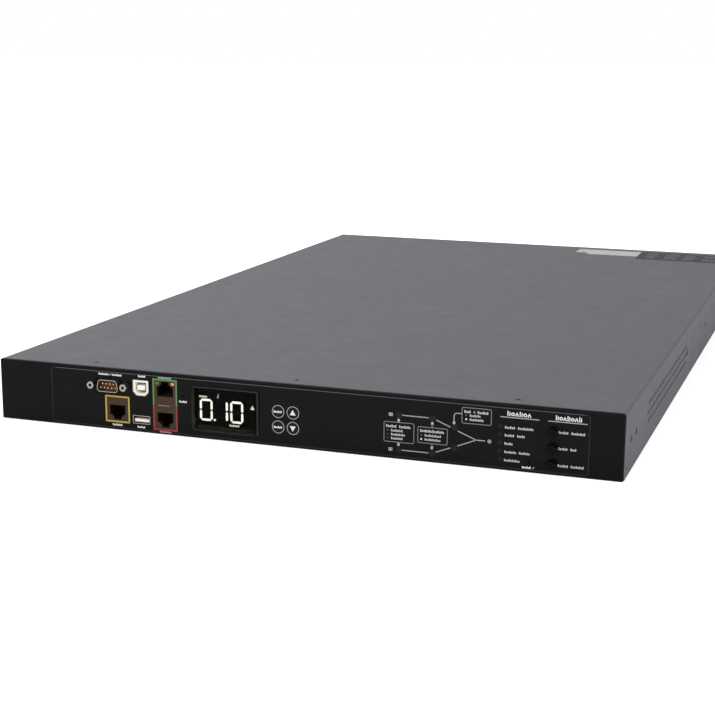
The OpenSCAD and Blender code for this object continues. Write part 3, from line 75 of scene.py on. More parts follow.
def addNode(tree, kind, inputs=None, **settings):
    node = tree.nodes.new(kind)
    for key, value in settings.items():
        setattr(node, key, value)
    for key, value in (inputs or {}).items():
        if isinstance(value, bpy.types.NodeSocket):
            tree.links.new(value, node.inputs[key])
        else:
            node.inputs[key].default_value = value
    return node


def calc(tree, operation, a, b=0.0, clamp=False):
    return addNode(tree, "ShaderNodeMath", {0: a, 1: b}, operation=operation, use_clamp=clamp).outputs[0]


def blendColours(tree, factor, a, b, mode="MIX"):
    node = addNode(tree, "ShaderNodeMix", {0: factor, 6: a, 7: b}, data_type="RGBA", blend_type=mode)
    return node.outputs[2]


def spread(tree, value, low, high, toLow=0.0, toHigh=1.0):
    inputs = {0: value, 1: low, 2: high, 3: toLow, 4: toHigh}
    return addNode(tree, "ShaderNodeMapRange", inputs).outputs[0]


def newGroup(name, inputs, outputs):
    group = bpy.data.node_groups.new(name, "ShaderNodeTree")
    for label, value in inputs:
        group.interface.new_socket(label, in_out="INPUT", socket_type="NodeSocketFloat").default_value = value
    for label in outputs:
        group.interface.new_socket(label, in_out="OUTPUT", socket_type="NodeSocketFloat")
    return group, group.nodes.new("NodeGroupInput"), group.nodes.new("NodeGroupOutput")


def newMaterial(name):
    material = bpy.data.materials.new(name)
    material.use_nodes = True
    return material, material.node_tree, material.node_tree.nodes["Principled BSDF"]


def colour(values):
    return (values[0], values[1], values[2], 1.0)


# Shared effects


def makeGrainGroup():
    group, given, made = newGroup("paintGrain", [("Scale", 1500.0), ("Softness", 0.5)], ["Grain", "Cloud"])
    place = addNode(group, "ShaderNodeTexCoord").outputs["Object"]
    fine = addNode(group, "ShaderNodeTexNoise", {"Vector": place, "Scale": given.outputs["Scale"],
                                                 "Detail": 3.0, "Roughness": given.outputs["Softness"]})
    wide = addNode(group, "ShaderNodeTexNoise",
                   {"Vector": place, "Scale": 9.0, "Detail": 4.0, "Roughness": 0.55})
    group.links.new(spread(group, fine.outputs[0], 0.3, 0.7), made.inputs["Grain"])
    group.links.new(spread(group, wide.outputs[0], 0.35, 0.65), made.inputs["Cloud"])
    return group


# Edge mask: real edge wear, also used as a painted highlight along edges that catch light
def makeWearAndHighlightGroup():
    group, given, made = newGroup("edgeWearAndHighlight", [("Radius", 0.0006), ("Amount", 0.5)], ["Mask"])
    rounded = addNode(group, "ShaderNodeBevel", {"Radius": given.outputs["Radius"]}, samples=6)
    plain = addNode(group, "ShaderNodeNewGeometry").outputs["Normal"]
    facing = addNode(group, "ShaderNodeVectorMath", {0: rounded.outputs[0], 1: plain},
                     operation="DOT_PRODUCT")
    edge = spread(group, facing.outputs["Value"], 0.99, 0.8)
    place = addNode(group, "ShaderNodeTexCoord").outputs["Object"]
    chips = addNode(group, "ShaderNodeTexNoise", {"Vector": place, "Scale": 420.0, "Detail": 5.0})
    broken = spread(group, chips.outputs[0], 0.42, 0.6)
    mask = calc(group, "MULTIPLY", calc(group, "MULTIPLY", edge, broken), given.outputs["Amount"], True)
    group.links.new(mask, made.inputs["Mask"])
    return group


def makeDustGroup():
    group, given, made = newGroup("dustAndSmears", [("Scale", 40.0), ("Amount", 0.5)], ["Dust", "Smear"])
    place = addNode(group, "ShaderNodeTexCoord").outputs["Object"]
    cloud = addNode(group, "ShaderNodeTexNoise", {"Vector": place, "Scale": given.outputs["Scale"],
                                                  "Detail": 6.0, "Roughness": 0.62})
    up = addNode(group, "ShaderNodeSeparateXYZ",
                 {0: addNode(group, "ShaderNodeNewGeometry").outputs["Normal"]}).outputs[2]
    level = spread(group, up, 0.2, 0.9, 0.35, 1.0)
    dust = calc(group, "MULTIPLY", spread(group, cloud.outputs[0], 0.45, 0.75), level)
    group.links.new(calc(group, "MULTIPLY", dust, given.outputs["Amount"], True), made.inputs["Dust"])
    smear = addNode(group, "ShaderNodeTexNoise", {"Vector": place, "Scale": given.outputs["Scale"],
                                                  "Detail": 2.0, "Distortion": 1.6})
    group.links.new(spread(group, smear.outputs[0], 0.35, 0.7), made.inputs["Smear"])
    return group


def makeBrushGroup():
    sockets = [("Along X", 8.0), ("Along Y", 2200.0), ("Along Z", 2200.0)]
    group, given, made = newGroup("brushedLines", sockets, ["Lines"])
    place = addNode(group, "ShaderNodeTexCoord").outputs["Object"]
    stretch = addNode(group, "ShaderNodeCombineXYZ", {i: given.outputs[s[0]] for i, s in enumerate(sockets)})
    drawn = addNode(group, "ShaderNodeVectorMath", {0: place, 1: stretch.outputs[0]}, operation="MULTIPLY")
    lines = addNode(group, "ShaderNodeTexNoise", {"Vector": drawn.outputs[0], "Scale": 1.0, "Detail": 4.0})
    group.links.new(spread(group, lines.outputs[0], 0.3, 0.7), made.inputs["Lines"])
    return group


paintGrain = makeGrainGroup()
edgeWearAndHighlight = makeWearAndHighlightGroup()
dustAndSmears = makeDustGroup()
brushedLines = makeBrushGroup()
print("shared effects built")


def useGroup(tree, group, **values):
    node = addNode(tree, "ShaderNodeGroup", node_tree=group)
    for key, value in values.items():
        node.inputs[key.replace("_", " ")].default_value = value
    return node.outputs


def addBump(tree, shader, height, strength, distance):
    bump = addNode(tree, "ShaderNodeBump", {"Height": height, "Strength": strength, "Distance": distance})
    tree.links.new(bump.outputs[0], shader.inputs["Normal"])


# Finishes


# A moulded or painted surface: grain, slight clouding, edge wear that also serves as a painted highlight
# along edges, dust, and painted shade deeper inside openings
def makeCoat(name, base, wornAndLitColour=None, rough=0.5, grain=1500.0, bump=0.25, depth=0.00005, wearAndHighlight=0.3, dust=0.1,
             mottle=0.08, gloss=0.5, varnish=0.0, dustTint=(0.5, 0.49, 0.47), inside=None):
    material, tree, shader = newMaterial(name)
    fine = useGroup(tree, paintGrain, Scale=grain, Softness=0.6)
    edges = useGroup(tree, edgeWearAndHighlight, Radius=0.0005, Amount=wearAndHighlight)
    dirt = useGroup(tree, dustAndSmears, Scale=38.0, Amount=dust)
    darker = [c * (1 - mottle) for c in base]
    lighter = [min(c * (1 + mottle), 1) for c in base]
    body = blendColours(tree, fine["Grain"], colour(darker), colour(lighter))
    body = blendColours(tree, calc(tree, "MULTIPLY", fine["Cloud"], mottle), body, colour(lighter))
    wornAndLitColour = wornAndLitColour or [min(c * 1.7 + 0.02, 1) for c in base]
    # Edges blend to the worn colour: wear, and also a painted highlight where edges catch light
    body = blendColours(tree, edges["Mask"], body, colour(wornAndLitColour))
    body = blendColours(tree, dirt["Dust"], body, colour(dustTint))
    # Painted shade: the colour darkens with depth behind the face, standing in for the shadow inside openings
    if inside:
        place = addNode(tree, "ShaderNodeTexCoord").outputs["Object"]
        back = addNode(tree, "ShaderNodeSeparateXYZ", {0: place}).outputs[1]
        recessShadeMask = spread(tree, back, inside[0], inside[0] + inside[1])
        body = blendColours(tree, recessShadeMask, body, colour(inside[2]))
    tree.links.new(body, shader.inputs["Base Color"])
    uneven = calc(tree, "MULTIPLY_ADD", fine["Grain"], 0.08)
    uneven.node.inputs[2].default_value = rough - 0.04
    soft = calc(tree, "ADD", uneven, calc(tree, "MULTIPLY", dirt["Smear"], 0.07), True)
    tree.links.new(soft, shader.inputs["Roughness"])
    shader.inputs["Specular IOR Level"].default_value = gloss
    shader.inputs["Coat Weight"].default_value = varnish
    shader.inputs["Coat Roughness"].default_value = 0.12
    addBump(tree, shader, fine["Grain"], bump, depth)
    return material


# A bare or plated metal: drawn lines, smears and brighter edges
def makeMetal(name, base, rough=0.3, lines=(8.0, 2200.0, 2200.0), bump=0.12, tarnish=0.25, shade=0.7):
    material, tree, shader = newMaterial(name)
    drawn = useGroup(tree, brushedLines, Along_X=lines[0], Along_Y=lines[1], Along_Z=lines[2])
    edges = useGroup(tree, edgeWearAndHighlight, Radius=0.0004, Amount=0.6)
    dirt = useGroup(tree, dustAndSmears, Scale=60.0, Amount=tarnish)
    dull = [c * shade for c in base]
    body = blendColours(tree, drawn["Lines"], colour([c * 0.93 for c in base]), colour(base))
    body = blendColours(tree, dirt["Dust"], body, colour(dull))
    body = blendColours(tree, edges["Mask"], body, colour([min(c * 1.15, 1) for c in base]))
    tree.links.new(body, shader.inputs["Base Color"])
    shader.inputs["Metallic"].default_value = 1.0
    uneven = calc(tree, "MULTIPLY_ADD", drawn["Lines"], 0.12)
    uneven.node.inputs[2].default_value = rough - 0.06
    soft = calc(tree, "ADD", uneven, calc(tree, "MULTIPLY", dirt["Smear"], 0.1), True)
    tree.links.new(soft, shader.inputs["Roughness"])
    addBump(tree, shader, drawn["Lines"], bump, 0.00002)
    return material


# Folded steel cover and rear panel: fine textured powder coat
casePaint = {
    "base": (0.085, 0.084, 0.096),
    "rough": 0.68,
    "grain": 1300.0,
    "bump": 0.35,
    "depth": 0.00006,
    "wearAndHighlight": 0.25,
    "dust": 0.03,
    "mottle": 0.02,
    "gloss": 0.22,
}

# Front plate, keys, buttons and sockets. The lighter edge colour of the plate, film and buttons is also a
# painted highlight along edges that catch light.
blackPaint = {"base": (0.0034, 0.0034, 0.0034), "rough": 0.42, "grain": 2200.0, "bump": 0.15, "wearAndHighlight": 0.35,
              "dust": 0.006, "mottle": 0.2, "gloss": 0.06, "wornAndLitColour": (0.05, 0.05, 0.053)}
overlayFilm = {"base": (0.0048, 0.0048, 0.005), "rough": 0.24, "grain": 4200.0, "bump": 0.05, "wearAndHighlight": 0.5,
               "dust": 0.006, "mottle": 0.12, "gloss": 0.055, "wornAndLitColour": (0.06, 0.06, 0.065)}
blackScrew = {"base": (0.012, 0.012, 0.013), "rough": 0.38, "grain": 2600.0, "bump": 0.1, "wearAndHighlight": 0.6,
              "dust": 0.05, "gloss": 0.2, "wornAndLitColour": (0.2, 0.2, 0.2)}
keyRubber = {"base": (0.0075, 0.0075, 0.008), "rough": 0.55, "grain": 3200.0, "bump": 0.2, "wearAndHighlight": 0.1,
             "dust": 0.01, "gloss": 0.08}
buttonPlastic = {"base": (0.003, 0.003, 0.0033), "rough": 0.24, "grain": 2600.0, "bump": 0.06, "wearAndHighlight": 0.15,
                 "dust": 0.003, "gloss": 0.04}
socketPlastic = {"base": (0.0095, 0.0095, 0.010), "rough": 0.46, "grain": 2400.0, "bump": 0.25, "wearAndHighlight": 0.25,
                 "dust": 0.04, "gloss": 0.4}
switchPlastic = {"base": (0.02, 0.02, 0.021), "rough": 0.4, "grain": 2400.0, "bump": 0.1}
relayPlastic = {"base": (0.014, 0.014, 0.016), "rough": 0.25, "grain": 1800.0, "bump": 0.08, "dust": 0.1}
lensPlastic = {"base": (0.0065, 0.006, 0.0055), "rough": 0.2, "grain": 1500.0, "bump": 0.04, "wearAndHighlight": 0.1,
               "dust": 0.01, "gloss": 0.13}
displayPlastic = {"base": (0.03, 0.024, 0.017), "rough": 0.5, "grain": 3000.0, "bump": 0.1, "wearAndHighlight": 0.0,
                  "dust": 0.0, "gloss": 0.1}
jackPlastic = {"base": (0.05, 0.027, 0.017), "rough": 0.33, "grain": 2000.0, "bump": 0.12, "wearAndHighlight": 0.2,
               "dust": 0.04, "mottle": 0.12, "gloss": 0.1}
serialPlastic = {"base": (0.13, 0.055, 0.028), "rough": 0.4, "grain": 1800.0, "bump": 0.15, "wearAndHighlight": 0.1,
                 "dust": 0.03, "gloss": 0.35}
usbPlastic = {"base": (0.86, 0.82, 0.74), "rough": 0.38, "grain": 1500.0, "bump": 0.1, "wearAndHighlight": 0.0,
              "dust": 0.03, "mottle": 0.03, "gloss": 0.4}
ivoryPlastic = {"base": (0.72, 0.68, 0.58), "rough": 0.4, "grain": 1500.0, "bump": 0.1, "mottle": 0.03}
modulePlastic = {"base": (0.72, 0.71, 0.67), "rough": 0.5, "grain": 1300.0, "bump": 0.2, "mottle": 0.04}
fuseCeramic = {"base": (0.76, 0.74, 0.66), "rough": 0.3, "grain": 900.0, "bump": 0.08, "mottle": 0.04,
               "varnish": 0.3}
capacitorSleeve = {"base": (0.03, 0.09, 0.21), "rough": 0.28, "grain": 900.0, "bump": 0.06, "gloss": 0.5}
coreDip = {"base": (0.028, 0.052, 0.14), "rough": 0.35, "grain": 500.0, "bump": 0.5, "depth": 0.0002}
transformerResin = {"base": (0.055, 0.05, 0.042), "rough": 0.55, "grain": 700.0, "bump": 0.4, "depth": 0.0001}
terminalPlastic = {"base": (0.065, 0.19, 0.08), "rough": 0.45, "grain": 1500.0, "bump": 0.2}
wireSleeve = {"base": (0.13, 0.05, 0.022), "rough": 0.42, "grain": 1200.0, "bump": 0.1}
darkLabelFilm = {"base": (0.04, 0.04, 0.046), "rough": 0.62, "grain": 3500.0, "bump": 0.08, "wearAndHighlight": 0.2,
                 "dust": 0.02, "mottle": 0.05, "gloss": 0.06}


# Zinc-plated sheet with a faint spangle
def makeZincSheet(name, base=(0.52, 0.53, 0.54), cell=70.0):
    material, tree, shader = newMaterial(name)
    place = addNode(tree, "ShaderNodeTexCoord").outputs["Object"]
    spangle = addNode(tree, "ShaderNodeTexVoronoi", {"Vector": place, "Scale": cell})
    tone = addNode(tree, "ShaderNodeSeparateColor", {0: spangle.outputs["Color"]}).outputs[0]
    drawn = useGroup(tree, brushedLines, Along_X=900.0, Along_Y=30.0, Along_Z=900.0)
    edges = useGroup(tree, edgeWearAndHighlight, Radius=0.0004, Amount=0.5)
    dirt = useGroup(tree, dustAndSmears, Scale=25.0, Amount=0.3)
    body = blendColours(tree, tone, colour([c * 0.86 for c in base]), colour(base))
    body = blendColours(tree, dirt["Dust"], body, colour([c * 0.7 for c in base]))
    body = blendColours(tree, edges["Mask"], body, colour([c * 1.2 for c in base]))
    tree.links.new(body, shader.inputs["Base Color"])
    shader.inputs["Metallic"].default_value = 1.0
    tree.links.new(spread(tree, tone, 0, 1, 0.32, 0.46), shader.inputs["Roughness"])
    addBump(tree, shader, drawn["Lines"], 0.15, 0.00003)
    return material


# Green solder mask over faint copper tracks and pads
def makeBoardFinish(name):
    material, tree, shader = newMaterial(name)
    place = addNode(tree, "ShaderNodeTexCoord").outputs["Object"]
    tracks = addNode(tree, "ShaderNodeTexBrick",
                     {"Vector": place, "Scale": 180.0, "Mortar Size": 0.05,
                      "Brick Width": 1.7, "Row Height": 0.4})
    pads = addNode(tree, "ShaderNodeTexVoronoi", {"Vector": place, "Scale": 260.0})
    pad = spread(tree, pads.outputs["Distance"], 0.2, 0.14)
    grain = useGroup(tree, paintGrain, Scale=900.0, Softness=0.5)
    body = blendColours(tree, tracks.outputs["Fac"], (0.012, 0.1, 0.04, 1), (0.025, 0.17, 0.07, 1))
    body = blendColours(tree, calc(tree, "MULTIPLY", pad, 0.7), body, (0.55, 0.54, 0.48, 1))
    body = blendColours(tree, calc(tree, "MULTIPLY", grain["Cloud"], 0.15), body, (0.02, 0.12, 0.05, 1))
    tree.links.new(body, shader.inputs["Base Color"])
    tree.links.new(spread(tree, pad, 0, 1, 0.3, 0.18), shader.inputs["Roughness"])
    addBump(tree, shader, tracks.outputs["Fac"], 0.2, 0.00003)
    return material


# Flat cable: parallel conductors along its run
def makeRibbonFinish(name):
    material, tree, shader = newMaterial(name)
    place = addNode(tree, "ShaderNodeTexCoord").outputs["Object"]
    high = addNode(tree, "ShaderNodeSeparateXYZ", {0: place}).outputs[2]
    wave = calc(tree, "SINE", calc(tree, "MULTIPLY", high, 4950.0))
    grain = useGroup(tree, paintGrain, Scale=1500.0, Softness=0.5)
    body = blendColours(tree, spread(tree, wave, -1, 1), (0.27, 0.28, 0.3, 1), (0.42, 0.44, 0.47, 1))
    body = blendColours(tree, calc(tree, "MULTIPLY", grain["Grain"], 0.2), body, (0.3, 0.3, 0.31, 1))
    tree.links.new(body, shader.inputs["Base Color"])
    tree.links.new(spread(tree, grain["Grain"], 0, 1, 0.4, 0.52), shader.inputs["Roughness"])
    addBump(tree, shader, wave, 0.5, 0.0001)
    return material


# Port lights: the right one is lit amber, the left one is dark
def makePortLight(name, middle):
    material, tree, shader = newMaterial(name)
    place = addNode(tree, "ShaderNodeTexCoord").outputs["Object"]
    across = addNode(tree, "ShaderNodeSeparateXYZ", {0: place}).outputs[0]
    lit = calc(tree, "GREATER_THAN", across, middle)
    cells = addNode(tree, "ShaderNodeTexVoronoi", {"Vector": place, "Scale": 2500.0})
    prism = spread(tree, cells.outputs["Distance"], 0.0, 0.7, 1.0, 0.7)
    body = blendColours(tree, lit, (0.05, 0.052, 0.04, 1), (0.42, 0.2, 0.06, 1))
    body = blendColours(tree, calc(tree, "MULTIPLY", prism, 0.2), body, (0.3, 0.25, 0.2, 1))
    tree.links.new(body, shader.inputs["Base Color"])
    glow = blendColours(tree, lit, (0, 0, 0, 1), (0.45, 0.22, 0.07, 1))
    tree.links.new(glow, shader.inputs["Emission Color"])
    shader.inputs["Emission Strength"].default_value = 0.35
    tree.links.new(spread(tree, prism, 0.7, 1, 0.2, 0.35), shader.inputs["Roughness"])
    return material


# Smoked window over the display: clear through its face, ground along its edges
def makeSmokedWindow(name):
    material, tree, glass = newMaterial(name)
    dirt = useGroup(tree, dustAndSmears, Scale=70.0, Amount=0.05)
    tint = blendColours(tree, dirt["Dust"], (0.6, 0.55, 0.5, 1), (0.7, 0.68, 0.66, 1))
    tree.links.new(tint, glass.inputs["Base Color"])
    tree.links.new(spread(tree, dirt["Smear"], 0, 1, 0.04, 0.1), glass.inputs["Roughness"])
    glass.inputs["Transmission Weight"].default_value = 1.0
    glass.inputs["IOR"].default_value = 1.12
    grain = useGroup(tree, paintGrain, Scale=1800.0, Softness=0.6)
    ground = addNode(tree, "ShaderNodeBsdfPrincipled")
    edge = blendColours(tree, grain["Grain"], (0.035, 0.033, 0.031, 1), (0.07, 0.067, 0.064, 1))
    tree.links.new(edge, ground.inputs["Base Color"])
    tree.links.new(spread(tree, grain["Grain"], 0, 1, 0.4, 0.6), ground.inputs["Roughness"])
    normal = addNode(tree, "ShaderNodeTexCoord").outputs["Normal"]
    facing = calc(tree, "ABSOLUTE", addNode(tree, "ShaderNodeSeparateXYZ", {0: normal}).outputs[1])
    face = calc(tree, "GREATER_THAN", facing, 0.6)
    both = addNode(tree, "ShaderNodeMixShader", {0: face, 1: ground.outputs[0], 2: glass.outputs[0]})
    tree.links.new(both.outputs[0], tree.nodes["Material Output"].inputs["Surface"])
    return material


# Lit display segments with uneven glow
def makeLitSegment(name, tint, strength, dark=(0.03, 0.03, 0.028)):
    material, tree, shader = newMaterial(name)
    place = addNode(tree, "ShaderNodeTexCoord").outputs["Object"]
    glow = addNode(tree, "ShaderNodeTexNoise", {"Vector": place, "Scale": 260.0, "Detail": 2.0})
    level = spread(tree, glow.outputs[0], 0.3, 0.7, 0.0, 0.14)
    tree.links.new(blendColours(tree, level, colour(tint), colour(dark)), shader.inputs["Emission Color"])
    shader.inputs["Emission Strength"].default_value = strength
    tree.links.new(blendColours(tree, level, colour(tint), (0.5, 0.5, 0.45, 1)), shader.inputs["Base Color"])
    tree.links.new(spread(tree, glow.outputs[0], 0.3, 0.7, 0.35, 0.5), shader.inputs["Roughness"])
    return material


# Screen-printed ink, thinner in places; the same thin film also makes the painted highlight and painted shade
# lines on the front
def makeInkAndPaintedLight(name, mark, ground=(0.03, 0.03, 0.032), cover=0.9, rough=0.45):
    material, tree, shader = newMaterial(name)
    place = addNode(tree, "ShaderNodeTexCoord").outputs["Object"]
    mesh = addNode(tree, "ShaderNodeTexNoise", {"Vector": place, "Scale": 2600.0, "Detail": 3.0})
    thin = spread(tree, mesh.outputs[0], 0.35, 0.65, 1 - cover, (1 - cover) * 2.2)
    tree.links.new(blendColours(tree, thin, colour(mark), colour(ground)), shader.inputs["Base Color"])
    uneven = spread(tree, mesh.outputs[0], 0.3, 0.7, rough - 0.05, rough + 0.08)
    tree.links.new(uneven, shader.inputs["Roughness"])
    shader.inputs["Specular IOR Level"].default_value = 0.25
    addBump(tree, shader, mesh.outputs[0], 0.1, 0.00002)
    return material


# Silver label film with very fine drawn lines
def makeSilverFilm(name, base=(0.33, 0.33, 0.345)):
    material, tree, shader = newMaterial(name)
    drawn = useGroup(tree, brushedLines, Along_X=30.0, Along_Y=5200.0, Along_Z=900.0)
    dirt = useGroup(tree, dustAndSmears, Scale=55.0, Amount=0.12)
    edges = useGroup(tree, edgeWearAndHighlight, Radius=0.0005, Amount=0.5)
    dull, bright = [c * 0.9 for c in base], [c * 1.06 for c in base]
    body = blendColours(tree, drawn["Lines"], colour(dull), colour(bright))
    body = blendColours(tree, dirt["Dust"], body, (0.22, 0.22, 0.22, 1))
    body = blendColours(tree, edges["Mask"], body, (0.55, 0.55, 0.56, 1))
    tree.links.new(body, shader.inputs["Base Color"])
    shader.inputs["Metallic"].default_value = 0.35
    tree.links.new(spread(tree, drawn["Lines"], 0, 1, 0.36, 0.48), shader.inputs["Roughness"])
    addBump(tree, shader, drawn["Lines"], 0.1, 0.00002)
    return material


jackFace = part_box("network_jack")[0].y
# Painted shade inside the network jack's openings, darkening from 0.4 mm behind its face over 1.2 mm
jackPlastic["inside"] = (jackFace + 0.4 * mm, 1.2 * mm, (0.006, 0.0062, 0.0065))
portMiddle = (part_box("network_jack")[0].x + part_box("network_jack")[1].x) / 2
finishes = {
    "case_paint": makeCoat("casePowderCoat", **casePaint),
    "tray_steel": makeZincSheet("trayZinc"),
    "plate_paint": makeCoat("frontPlatePaint", **blackPaint),
    "overlay_film": makeCoat("frontOverlayFilm", **overlayFilm),
    "black_screws": makeCoat("blackenedScrews", **blackScrew),
    "silver_label": makeSilverFilm("silverLabelFilm"),
    "dark_label": makeCoat("darkLabelFilm", **darkLabelFilm),
    "connector_nickel": makeMetal("connectorNickel", (0.3, 0.28, 0.25), 0.27, (900.0, 60.0, 900.0),
                                  0.2, 0.5, 0.45),
    "serial_insulator": makeCoat("serialInsulator", **serialPlastic),
    "gold_contacts": makeMetal("goldContacts", (0.83, 0.6, 0.27), 0.22, (2600.0, 90.0, 2600.0), 0.1, 0.2),
    "usb_white": makeCoat("usbWhite", **usbPlastic),
    "jack_brown": makeCoat("jackBrown", **jackPlastic),
    "jack_lights": makePortLight("portLights", portMiddle),
    "smoked_window": makeSmokedWindow("smokedWindow"),
    "display_body": makeCoat("displayBody", **displayPlastic),
    "display_light": makeLitSegment("displayLight", (0.88, 0.97, 0.92), 0.86),
    "key_rubber": makeCoat("keyRubber", **keyRubber),
    "button_black": makeCoat("buttonBlack", **buttonPlastic),
    "plunger_ivory": makeCoat("plungerIvory", **ivoryPlastic),
    "switch_body": makeCoat("switchBody", **switchPlastic),
    "light_lens": makeCoat("smokedLens", **lensPlastic),
    "circuit_board": makeBoardFinish("circuitBoard"),
    "zinc_hardware": makeMetal("zincHardware", (0.62, 0.61, 0.58), 0.32, (400.0, 400.0, 1600.0), 0.1, 0.2),
    "ribbon_grey": makeRibbonFinish("ribbonCable"),
    "sink_aluminium": makeMetal("sinkAluminium", (0.7, 0.7, 0.71), 0.38, (4.0, 1800.0, 1800.0),
                                0.2, 0.2, 0.8),
    "module_white": makeCoat("moduleWhite", **modulePlastic),
    "relay_black": makeCoat("relayBlack", **relayPlastic),
    "core_blue": makeCoat("coreDip", **coreDip),
    "fuse_ceramic": makeCoat("fuseCeramic", **fuseCeramic),
    "capacitor_sleeve": makeCoat("capacitorSleeve", **capacitorSleeve),
    "transformer_resin": makeCoat("transformerResin", **transformerResin),
    "terminal_green": makeCoat("terminalGreen", **terminalPlastic),
    "copper": makeMetal("bareCopper", (0.78, 0.42, 0.26), 0.32, (1200.0, 40.0, 1200.0), 0.15, 0.4, 0.6),
    "wire_brown": makeCoat("wireSleeve", **wireSleeve),
    "socket_black": makeCoat("socketBlack", **socketPlastic),
    "blade_nickel": makeMetal("bladeNickel", (0.66, 0.64, 0.58), 0.26, (1500.0, 40.0, 1500.0), 0.12, 0.2),
    "brass_stud": makeMetal("turnedBrass", (0.7, 0.52, 0.24), 0.28, (1800.0, 60.0, 1800.0), 0.15, 0.3),
}
for entry in frame["record"]["subparts"]:
    for place in nodes[entry["node"]].material_slots:
        place.material = finishes[entry["material_slot"]]
print("finishes made:", len(finishes))

# Printed pieces on the front

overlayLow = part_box("front_overlay")[0]
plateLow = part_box("front_plate")[0]
printDepth = 0.03 * mm
printFace = overlayLow.y - printDepth / 2


# A point on the front, in millimetres from the plate's lower left corner
def onFront(x, z):
    return Vector((plateLow.x + x * mm, printFace, plateLow.z + z * mm))


def addBar(bm, x0, z0, x1, z1):
    low, high = onFront(x0, z0), onFront(x1, z1)
    size = Matrix.Diagonal((high.x - low.x, printDepth, high.z - low.z, 1))
    bmesh.ops.create_cube(bm, size=1, matrix=Matrix.Translation((low + high) / 2) @ size)


def addStroke(bm, start, end, width):
    a, b = onFront(*start), onFront(*end)
    run = b - a
    turn = Matrix.Rotation(-math.atan2(run.z, run.x), 4, "Y")
    size = Matrix.Diagonal((run.length, printDepth, width * mm, 1))
    bmesh.ops.create_cube(bm, size=1, matrix=Matrix.Translation((a + b) / 2) @ turn @ size)


def addDisc(bm, x, z, radius, sides=24, squash=1.0, turn=0.0):
    place = Matrix.Translation(onFront(x, z)) @ Matrix.Rotation(math.radians(90), 4, "X")
    shape = place @ Matrix.Diagonal((1, squash, 1, 1)) @ Matrix.Rotation(math.radians(turn), 4, "Z")
    bmesh.ops.create_cone(bm, cap_ends=True, segments=sides, radius1=radius * mm, radius2=radius * mm,
                          depth=printDepth, matrix=shape)


def addTriangle(bm, x, z, width, height, down=False):
    radius = width / math.sqrt(3)
    addDisc(bm, x, z, radius, 3, height / (radius * 1.5), 60 if down else 0)


# A ring of rectangular section, spun round an axis that points out of the front
def addRing(bm, x, z, radius, line, degrees=360, start=0.0, steps=48):
    middle = onFront(x, z)
    turned = Matrix.Translation(middle) @ Matrix.Rotation(math.radians(start), 4, "Y")
    half = Matrix.Diagonal((line * mm / 2, printDepth / 2, 1, 1))
    section = Matrix.Translation(Vector((radius * mm, 0, 0)))
    grid = bmesh.ops.create_grid(bm, x_segments=1, y_segments=1, size=1, matrix=turned @ section @ half)
    faces = list({f for v in grid["verts"] for f in v.link_faces})
    full = degrees == 360
    edges = list({e for v in grid["verts"] for e in v.link_edges})
    geometry = grid["verts"] + edges + ([] if full else faces)
    if full:
        bmesh.ops.delete(bm, geom=faces, context="FACES_ONLY")
    bmesh.ops.spin(bm, geom=geometry, cent=middle, axis=(0, 1, 0), angle=math.radians(degrees),
                   steps=steps, use_merge=full)


# The outline of a rectangle with round corners
def addOutline(bm, x0, z0, x1, z1, line, radius):
    low, high = onFront(x0, z0), onFront(x1, z1)
    size = Matrix.Diagonal(((high.x - low.x) / 2, (high.z - low.z) / 2, 1, 1))
    front = Matrix.Translation((low + high) / 2) @ Matrix.Rotation(math.radians(90), 4, "X") @ size
    grid = bmesh.ops.create_grid(bm, x_segments=1, y_segments=1, size=1, matrix=front)
    made = bmesh.ops.bevel(bm, geom=grid["verts"], offset=radius * mm, segments=5, profile=0.5,
                           affect="VERTICES", material=-1)
    face = max({f for v in made["verts"] for f in v.link_faces}, key=lambda f: f.calc_area())
    ring = bmesh.ops.inset_region(bm, faces=[face], thickness=line * mm, use_even_offset=True,
                                  use_boundary=True)["faces"]
    bmesh.ops.delete(bm, geom=[face], context="FACES_ONLY")
    bmesh.ops.solidify(bm, geom=ring, thickness=printDepth)


# A word as a row of plain blocks, tall and short in turn
def addWord(bm, x0, x1, z, height, rhythm=(1.0, 0.72, 0.72, 1.0, 0.72, 0.95, 0.72)):
    pitch = height * 0.66
    count = max(2, round((x1 - x0) / pitch))
    step = (x1 - x0) / count
    for i in range(count):
        tall = height * rhythm[i % len(rhythm)]
        addBar(bm, x0 + i * step, z - height / 2, x0 + i * step + step * 0.76, z - height / 2 + tall)


def addPiece(bm, name, material, body="chassis"):
    bmesh.ops.recalc_face_normals(bm, faces=bm.faces)
    mesh = bpy.data.meshes.new(name)
    bm.to_mesh(mesh)
    bm.free()
    mesh.materials.append(material)
    piece = bpy.data.objects.new(name, mesh)
    scene.collection.objects.link(piece)
    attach(piece, body)
    return piece


inks = {
    "white": makeInkAndPaintedLight("whiteInk", (0.86, 0.87, 0.88)),
    "paleGrey": makeInkAndPaintedLight("paleGreyInk", (0.5, 0.5, 0.51)),
    "grey": makeInkAndPaintedLight("greyInk", (0.38, 0.38, 0.39)),
    "dimGrey": makeInkAndPaintedLight("dimGreyInk", (0.2, 0.2, 0.205)),
    "green": makeInkAndPaintedLight("greenInk", (0.1, 0.25, 0.07)),
    "red": makeInkAndPaintedLight("redInk", (0.3, 0.032, 0.04)),
    "yellow": makeInkAndPaintedLight("yellowInk", (0.5, 0.38, 0.06)),
    "mint": makeInkAndPaintedLight("mintInk", (0.3, 0.48, 0.36)),
    "pink": makeInkAndPaintedLight("pinkInk", (0.5, 0.27, 0.28)),
    "greenDot": makeInkAndPaintedLight("greenDotInk", (0.025, 0.1, 0.04)),
    "redDot": makeInkAndPaintedLight("redDotInk", (0.14, 0.014, 0.014)),
}

